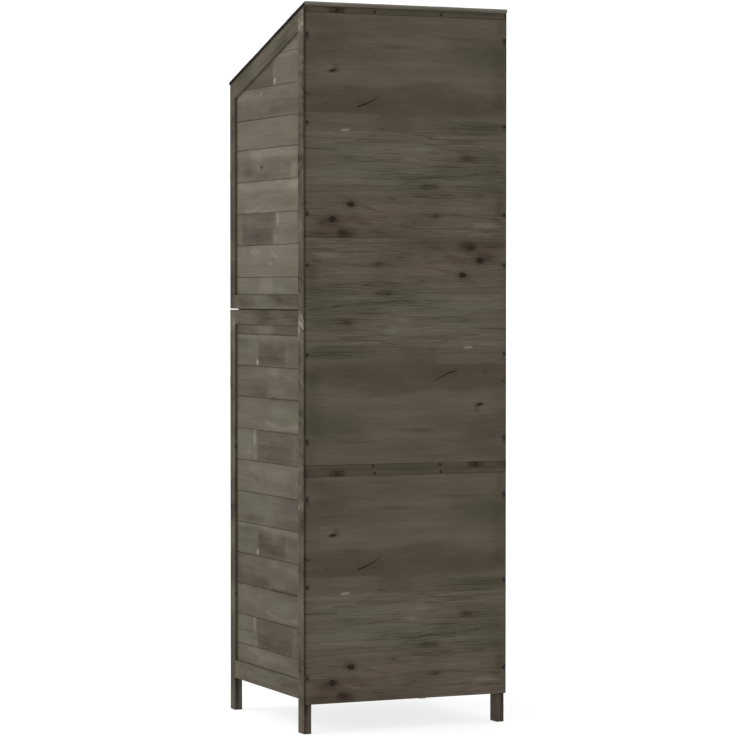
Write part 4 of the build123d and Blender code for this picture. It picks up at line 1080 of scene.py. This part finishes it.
M_HINGE = metal("hinge_black", (0.016, 0.016, 0.017), (0.040, 0.040, 0.042), (0.060, 0.024, 0.010), 0.74, 0.42)
M_STEEL = metal("screw_steel", (0.20, 0.20, 0.195), (0.34, 0.335, 0.32), (0.075, 0.034, 0.016), 0.62, 0.36, scale=2.0)
M_NAIL = metal("nail_weathered", (0.014, 0.012, 0.010), (0.030, 0.026, 0.022), (0.022, 0.011, 0.006), 0.50, 0.6, shine=0.3, scale=2.0)


def ring_faces(rows, seg):
    out = []
    for i in range(rows - 1):
        for j in range(seg):
            k = (j + 1) % seg
            out.append([i * seg + j, i * seg + k, (i + 1) * seg + k, (i + 1) * seg + j])
    return out


def lathe(profile, seg, place):
    """A turned shape from (radius, height) pairs, closed at both ends."""
    rows, pts = len(profile), []
    for r, h in profile:
        for j in range(seg):
            a = 2 * math.pi * j / seg
            pts.append((r * math.cos(a), r * math.sin(a), h))
    faces = ring_faces(rows, seg)
    faces.append(list(range(seg))[::-1])
    faces.append([(rows - 1) * seg + j for j in range(seg)])
    return place(np.array(pts)), faces, np.array(pts)


def front(x, y, z):
    """Places a shape that points along +Z so that it points towards the front from (x, y, z)."""
    return lambda p: np.stack([p[:, 0] + x, y - p[:, 2], p[:, 1] + z], axis=1)


def rear(x, y, z):
    return lambda p: np.stack([-p[:, 0] + x, y + p[:, 2], p[:, 1] + z], axis=1)


def recessed_head(r, h, place, shank, depth, spin):
    """A domed screw head with a cross recess, and its shank behind it."""
    seg, pts = 24, []
    rows = [(shank * 0.25, -depth), (shank, -depth + shank * 1.5), (shank, -0.9 * h), (r * 0.97, -0.3 * h), (r, 0.0)]
    for k in range(1, 10):
        f = 1 - k / 9.6
        rows.append((r * f, h * (1 - f ** 2.6)))
    for q, zz in rows:
        for j in range(seg):
            a = 2 * math.pi * j / seg + 1e-4
            x, y = q * math.cos(a), q * math.sin(a)
            zc = zz
            if zz > 0.05 * h:
                xr, yr = x * math.cos(spin) + y * math.sin(spin), -x * math.sin(spin) + y * math.cos(spin)
                arm = min(abs(xr), abs(yr))
                if arm < 0.17 * r and max(abs(xr), abs(yr)) < 0.62 * r:
                    zc = zz - 0.55 * h
            pts.append((x, y, zc))
    faces = ring_faces(len(rows), seg)
    faces.append(list(range(seg))[::-1])
    faces.append([(len(rows) - 1) * seg + j for j in range(seg)])
    return place(np.array(pts)), faces, np.array(pts)


def screw_piece(node, spots, body, r=2.9, h=1.1, shank=1.5, depth=15.0, proud=0.0, slot="fasteners"):
    pc = Piece(node + "_cross")
    for i, (x, y, z) in enumerate(spots):
        v, f, raw = recessed_head(r, h, front(x, y, z), shank, depth, rnd(len(node) * 31 + i, 2) * 1.5)
        pc.raw(v, f, raw / 1000.0)
    return pc.build(M_STEEL, body, node, slot)


UP_HINGES, LOW_HINGES = (1121.0, 1457.0), (200.0, 551.0, 902.0)
DZ = (-22.0, 0.0, 22.0)
screw_piece("frame_hinge_screws", [(-257, YF - 2, z + d) for z in UP_HINGES + LOW_HINGES for d in DZ], "carcass")
screw_piece("upper_door_screws", [(-224, YF - 2, z + d) for z in UP_HINGES for d in DZ], "upper_door")
screw_piece("lower_door_screws", [(-224, YF - 2, z + d) for z in LOW_HINGES for d in DZ], "lower_door")
screw_piece("button_pivot_screws", [(256, YF - 9.4, z) for z in (1355.0, 835.0)], "carcass", r=4.2, h=2.2, shank=2.0, depth=24.0)

pc = Piece("back_nails_heads")
NAILS = [(x, z) for z in (136.5, 352.0, 563.0, 700.5, 905.5, 1119.5, 1243.0, 1458.0, 1668.0) for x in (-262.0, 262.0)]
NAILS += [(x, z) for z, xs in ((620.0, (-90.0, 86.0)), (638.0, (-87.5, 89.5)), (1724.0, (-90.0, 86.0))) for x in xs]
for i, (x, z) in enumerate(NAILS):
    e = 0.25 * (rnd(900 + i, 1) - 0.5)
    v, f, raw = lathe([(0.3, -24), (1.0, -22), (1.0, -1.2), (2.0, -0.7), (2.25, -0.2), (2.2, 0.15), (1.9, 0.36 + e), (1.2, 0.42 + e), (0.5, 0.3 + e)],
                      18, rear(x, 260.0, z))
    pc.raw(v, f, raw / 1000.0)
pc.build(M_NAIL, "carcass", "back_nails", "fasteners")

pc = Piece("felt_nails_heads")
spots = []
for i in range(7):
    x = -252.0 + i * 84.0
    spots += [(x, -14.0), (x, -ROOF_LEN + 14.0)]
for i in range(1, 6):
    y = -14.0 - i * (ROOF_LEN - 28.0) / 6
    spots += [(-252.0, y), (252.0, y)]
for i, (x, y) in enumerate(spots):
    lean = 0.10 * (rnd(940 + i, 1) - 0.5)
    v, f, raw = lathe([(0.3, -8), (1.3, -6.5), (1.3, -0.6), (3.7, -0.35), (4.0, 0.0), (3.95, 0.4), (3.4, 0.68), (2.0, 0.8), (0.7, 0.74)], 24,
                      lambda q, x=x, y=y, lean=lean: tilt(q + np.stack([q[:, 0] * 0 + x, q[:, 0] * 0 + y, q[:, 0] * lean * 0.4], axis=1)))
    pc.raw(v, f, raw / 1000.0)
pc.build(metal("felt_nail_zinc", (0.15, 0.15, 0.148), (0.27, 0.27, 0.262), (0.070, 0.034, 0.018), 0.60, 0.5, scale=1.5), "carcass", "felt_nails", "fasteners")

for node in ("hinge_frame_leaves", "hinge_pins", "upper_door_hinge_leaves", "lower_door_hinge_leaves"):
    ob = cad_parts[node]
    ob.data.materials.clear()
    ob.data.materials.append(M_HINGE)
    m = ob.modifiers.new("soft_edges", "BEVEL")
    m.width, m.segments, m.limit_method, m.angle_limit = 0.0004, 2, "ANGLE", math.radians(40)
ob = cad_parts["button_washers"]
ob.data.materials.clear()
ob.data.materials.append(M_STEEL)
m = ob.modifiers.new("soft_edges", "BEVEL")
m.width, m.segments, m.limit_method, m.angle_limit = 0.0002, 2, "ANGLE", math.radians(40)

# ---------------------------------------------------------------- doors
LZ0, LZ1, UZ0, UZ1 = 129.7, 972.5, 1051.0, 1527.0
LM = (LZ0 + LZ1) / 2
DOOR_LOOKS = ["clear", "joint_a", "olive", "plum", "pale", "joint_b", "brown", "clear", "olive", "pale"]


def door(name, z0, z1, rails, counts, seed):
    body = f"{name}_door"
    pc = Piece(f"{name}_door_stiles_wood")
    for k, sx in enumerate((-1, 1)):
        x0, x1 = sorted((sx * 203.0, sx * 243.0))
        pc.bar((x0, YF, z0), (x1, YF + 18, z1), 2, seed + k, r=1.4, step=(7, 7, 20))
    pc.build(M_FRAME, body, f"{name}_door_stiles", "frame_wood")
    pc = Piece(f"{name}_door_rails_wood")
    for k, (a, b) in enumerate(rails):
        pc.bar((-203, YF, a), (203, YF + 18, b), 0, seed + 5 + k, r=1.4, step=(20, 7, 7), hue=0.4 * (k - 1))
    pc.build(M_FRAME, body, f"{name}_door_rails", "frame_wood")
    pc = Piece(f"{name}_door_boards_wood")
    cl = Piece(f"{name}_door_cleats_wood")
    n = 0
    for (r0, r1), cnt in zip(zip(rails, rails[1:]), counts):
        a0, b0 = r0[1], r1[0]
        for i in range(cnt):
            a, b = a0 + (b0 - a0) * i / cnt, a0 + (b0 - a0) * (i + 1) / cnt
            look = DOOR_LOOKS[(n + (3 if name == "upper" else 0)) % len(DOOR_LOOKS)]
            marks = mirrored(look) if n % 2 else list(BOARD_LOOKS[look])
            sn = seed + 20 + n

            def paint(v, a=a, b=b, marks=marks, sn=sn):
                ss, tt = (v[:, 0] + 203) / 406.0 + 0.08 * (rnd(sn, 4) - 0.5), (v[:, 2] - a) / (b - a)
                tone, hue = look_fields(marks, ss, tt, sn)
                near = np.minimum(v[:, 2] - a, b - v[:, 2])
                grime_and_shade = np.where(v[:, 1] < YF + 6.5, np.exp(-np.maximum(near, 0) / 0.8) * 0.75, 0.0)
                ends = np.minimum(v[:, 0] + 203, 203 - v[:, 0])
                grime_and_shade = np.maximum(grime_and_shade, 0.35 * np.exp(-np.maximum(ends, 0) / 2.0))
                return tone + 0.05 * (rnd(sn, 5) - 0.5), hue, grime_and_shade, None

            pc.bar((-203, YF + 4, a), (203, YF + 14, b), 0, sn, r=1.7, step=(9, 8, 9), edge=2.0, extra=(nick_lines(marks, -203, 203), (), ()),
                   wobble=0.14, paint=paint, wear=0.25)
            n += 1
        for k, sx in enumerate((-1, 1)):
            x0, x1 = sorted((sx * 191.0, sx * 203.0))
            cl.bar((x0, YF + 14, a0 + 0.5), (x1, YF + 24, b0 - 0.5), 2, seed + 60 + n + k, r=0.9, step=(6, 6, 26))
    pc.build(M_BOARD, body, f"{name}_door_boards", "board_wood")
    cl.build(M_FRAME, body, f"{name}_door_cleats", "frame_wood")


door("lower", LZ0, LZ1, [(LZ0, LZ0 + 40), (LM - 20, LM + 20), (LZ1 - 40, LZ1)], (5, 5), 600)
door("upper", UZ0, UZ1, [(UZ0, UZ0 + 40), (UZ1 - 40, UZ1)], (5,), 700)

# ---------------------------------------------------------------- knobs and turn buttons
KNOB = [(0.4, 0.0), (9.6, 0.0), (10.4, 0.25), (10.5, 0.9), (10.4, 1.7), (9.8, 2.3), (8.6, 3.2), (7.6, 4.2), (7.0, 5.6), (6.7, 7.2),
        (6.6, 9.2), (6.6, 11.4), (7.2, 13.6), (8.2, 15.2), (9.8, 16.7), (11.6, 17.9), (13.2, 19.1), (14.3, 20.4), (14.9, 21.8), (15.0, 22.9),
        (14.7, 24.2), (13.9, 25.5), (12.5, 26.7), (10.5, 27.7), (8.0, 28.4), (5.0, 28.8), (2.0, 28.97), (0.5, 29.0)]
for name, z in (("upper", 1280.0), ("lower", 760.0)):
    v, f, raw = lathe(KNOB, 56, front(223.0, YF, z))
    pc = Piece(f"{name}_door_knob_turned")
    k = 40 if name == "upper" else 47
    pc.raw(v, f, np.stack([raw[:, 2] / 1000 + rnd(k, 1), raw[:, 0] / 1000 + 0.02, raw[:, 1] / 1000 + 0.03], axis=1), tone=0.0, gr=0.6,
           edge=np.clip((raw[:, 2] - 21) / 8, 0, 1) * 0.5)
    pc.build(M_TURNED, f"{name}_door", f"{name}_door_knob", "turned_wood")


def turn_button(name, zp):
    """A flat wooden button with round ends and softened edges, with a hole for its pivot screw."""
    pc = Piece(f"{name}_turn_button_wood")
    n, rr, hole = 24, 7.0, 2.05
    ring = []
    for k in range(2 * n):
        up = k < n
        a = math.pi * (k if up else k - n) / (n - 1)
        cx, cz = (rr * math.cos(a), 4 + rr * math.sin(a)) if up else (-rr * math.cos(a), -19 - rr * math.sin(a))
        ring.append((cx, cz))
    ring = np.array(ring)
    nrm = np.array([((x) / rr, (z - 4) / rr) if k < n else (x / rr, (z + 19) / rr) for k, (x, z) in enumerate(ring)])
    ang = np.arctan2(ring[:, 1], ring[:, 0])
    hole_ring = np.stack([hole * np.cos(ang), hole * np.sin(ang)], axis=1)
    rows = [(hole_ring * 1.0, 0.35), (hole_ring * 1.25, 0.0)]
    for f in (0.25, 0.5, 0.75):
        rows.append((hole_ring * 1.25 * (1 - f) + (ring - nrm * 1.8) * f, 0.0))
    rows += [(ring - nrm * 1.8, 0.0), (ring - nrm * 0.9, 0.22), (ring - nrm * 0.27, 0.75), (ring, 1.6), (ring, 4.0), (ring, 6.4),
             (ring - nrm * 0.27, 7.25), (ring - nrm * 0.9, 7.78), (ring - nrm * 1.8, 8.0)]
    for f in (0.75, 0.5, 0.25):
        rows.append((hole_ring * 1.25 * (1 - f) + (ring - nrm * 1.8) * f, 8.0))
    rows += [(hole_ring * 1.25, 8.0), (hole_ring * 1.0, 7.65)]
    seg = len(ring)
    pts = np.concatenate([np.stack([r[:, 0] + 256.0, np.full(seg, YF - 9 + h), r[:, 1] + zp], axis=1) for r, h in rows])
    faces = ring_faces(len(rows), seg)
    last = (len(rows) - 1) * seg
    faces += [[last + j, last + (j + 1) % seg, (j + 1) % seg, j] for j in range(seg)]
    faces = [f[::-1] for f in faces]
    k = 51 if name == "upper" else 58
    gco = np.stack([(pts[:, 2] - zp) / 1000 + 3 * rnd(k, 1), (pts[:, 0] - 256) / 1000 + 0.03, (pts[:, 1] - YF + 5) / 1000 + 0.02], axis=1)
    edge = np.concatenate([np.full(seg, 1.0 if 0.1 < h < 2 or 6 < h < 7.9 else 0.0) for _, h in rows])
    pc.raw(pts, faces, gco, edge=edge, gr=0.7)
    pc.build(M_TURNED, f"{name}_button", f"{name}_turn_button", "turned_wood")


turn_button("upper", 1355.0)
turn_button("lower", 835.0)

# ---------------------------------------------------------------- floor, light, camera
me = bpy.data.meshes.new("floor")
me.from_pydata([(-90, -90, 0), (90, -90, 0), (90, 90, 0), (-90, 90, 0)], [], [(0, 1, 2, 3)])
floor = bpy.data.objects.new("floor", me)
bpy.context.scene.collection.objects.link(floor)
g = Graph("pale_floor")
t = g.new("ShaderNodeTexCoord").outputs["Object"]
g.set(color=g.ramp(g.noise(t, (1.5, 1.5, 1.5)), [(0.3, (0.23, 0.23, 0.23)), (0.7, (0.25, 0.25, 0.25))]), rough=0.9, spec=0.1)
g.bsdf.inputs["Emission Color"].default_value = (1.0, 1.0, 1.0, 1.0)
g.bsdf.inputs["Emission Strength"].default_value = 0.78
me.materials.append(g.mat)

world = bpy.data.worlds.new("studio")
bpy.context.scene.world = world
world.use_nodes = True
bg = world.node_tree.nodes["Background"]
bg.inputs[0].default_value = (1.0, 1.0, 1.0, 1.0)
bg.inputs[1].default_value = 1.1


def area(name, place, target, size, power):
    li = bpy.data.lights.new(name, "AREA")
    li.shape, li.size, li.energy = "SQUARE", size, power
    ob = bpy.data.objects.new(name, li)
    bpy.context.scene.collection.objects.link(ob)
    from mathutils import Vector
    ob.location = place
    ob.rotation_euler = (Vector(target) - Vector(place)).to_track_quat("-Z", "Y").to_euler()
    return ob


area("key", (3.1, -0.7, 2.9), (0.0, 0.0, 1.2), 2.4, 88.0)

cam = bpy.data.cameras.new("camera")
cam.sensor_width = 36.0
cam.lens = 145.0714
cam.clip_end = 200.0
co = bpy.data.objects.new("camera", cam)
bpy.context.scene.collection.objects.link(co)
co.location = (2.96943, 6.76299, 1.06090)
co.rotation_euler = (math.pi / 2 - math.radians(1.51151), 0.0, 2.726437)
bpy.context.scene.camera = co

vs = bpy.context.scene.view_settings
vs.view_transform = "Standard"
vs.look = "None"
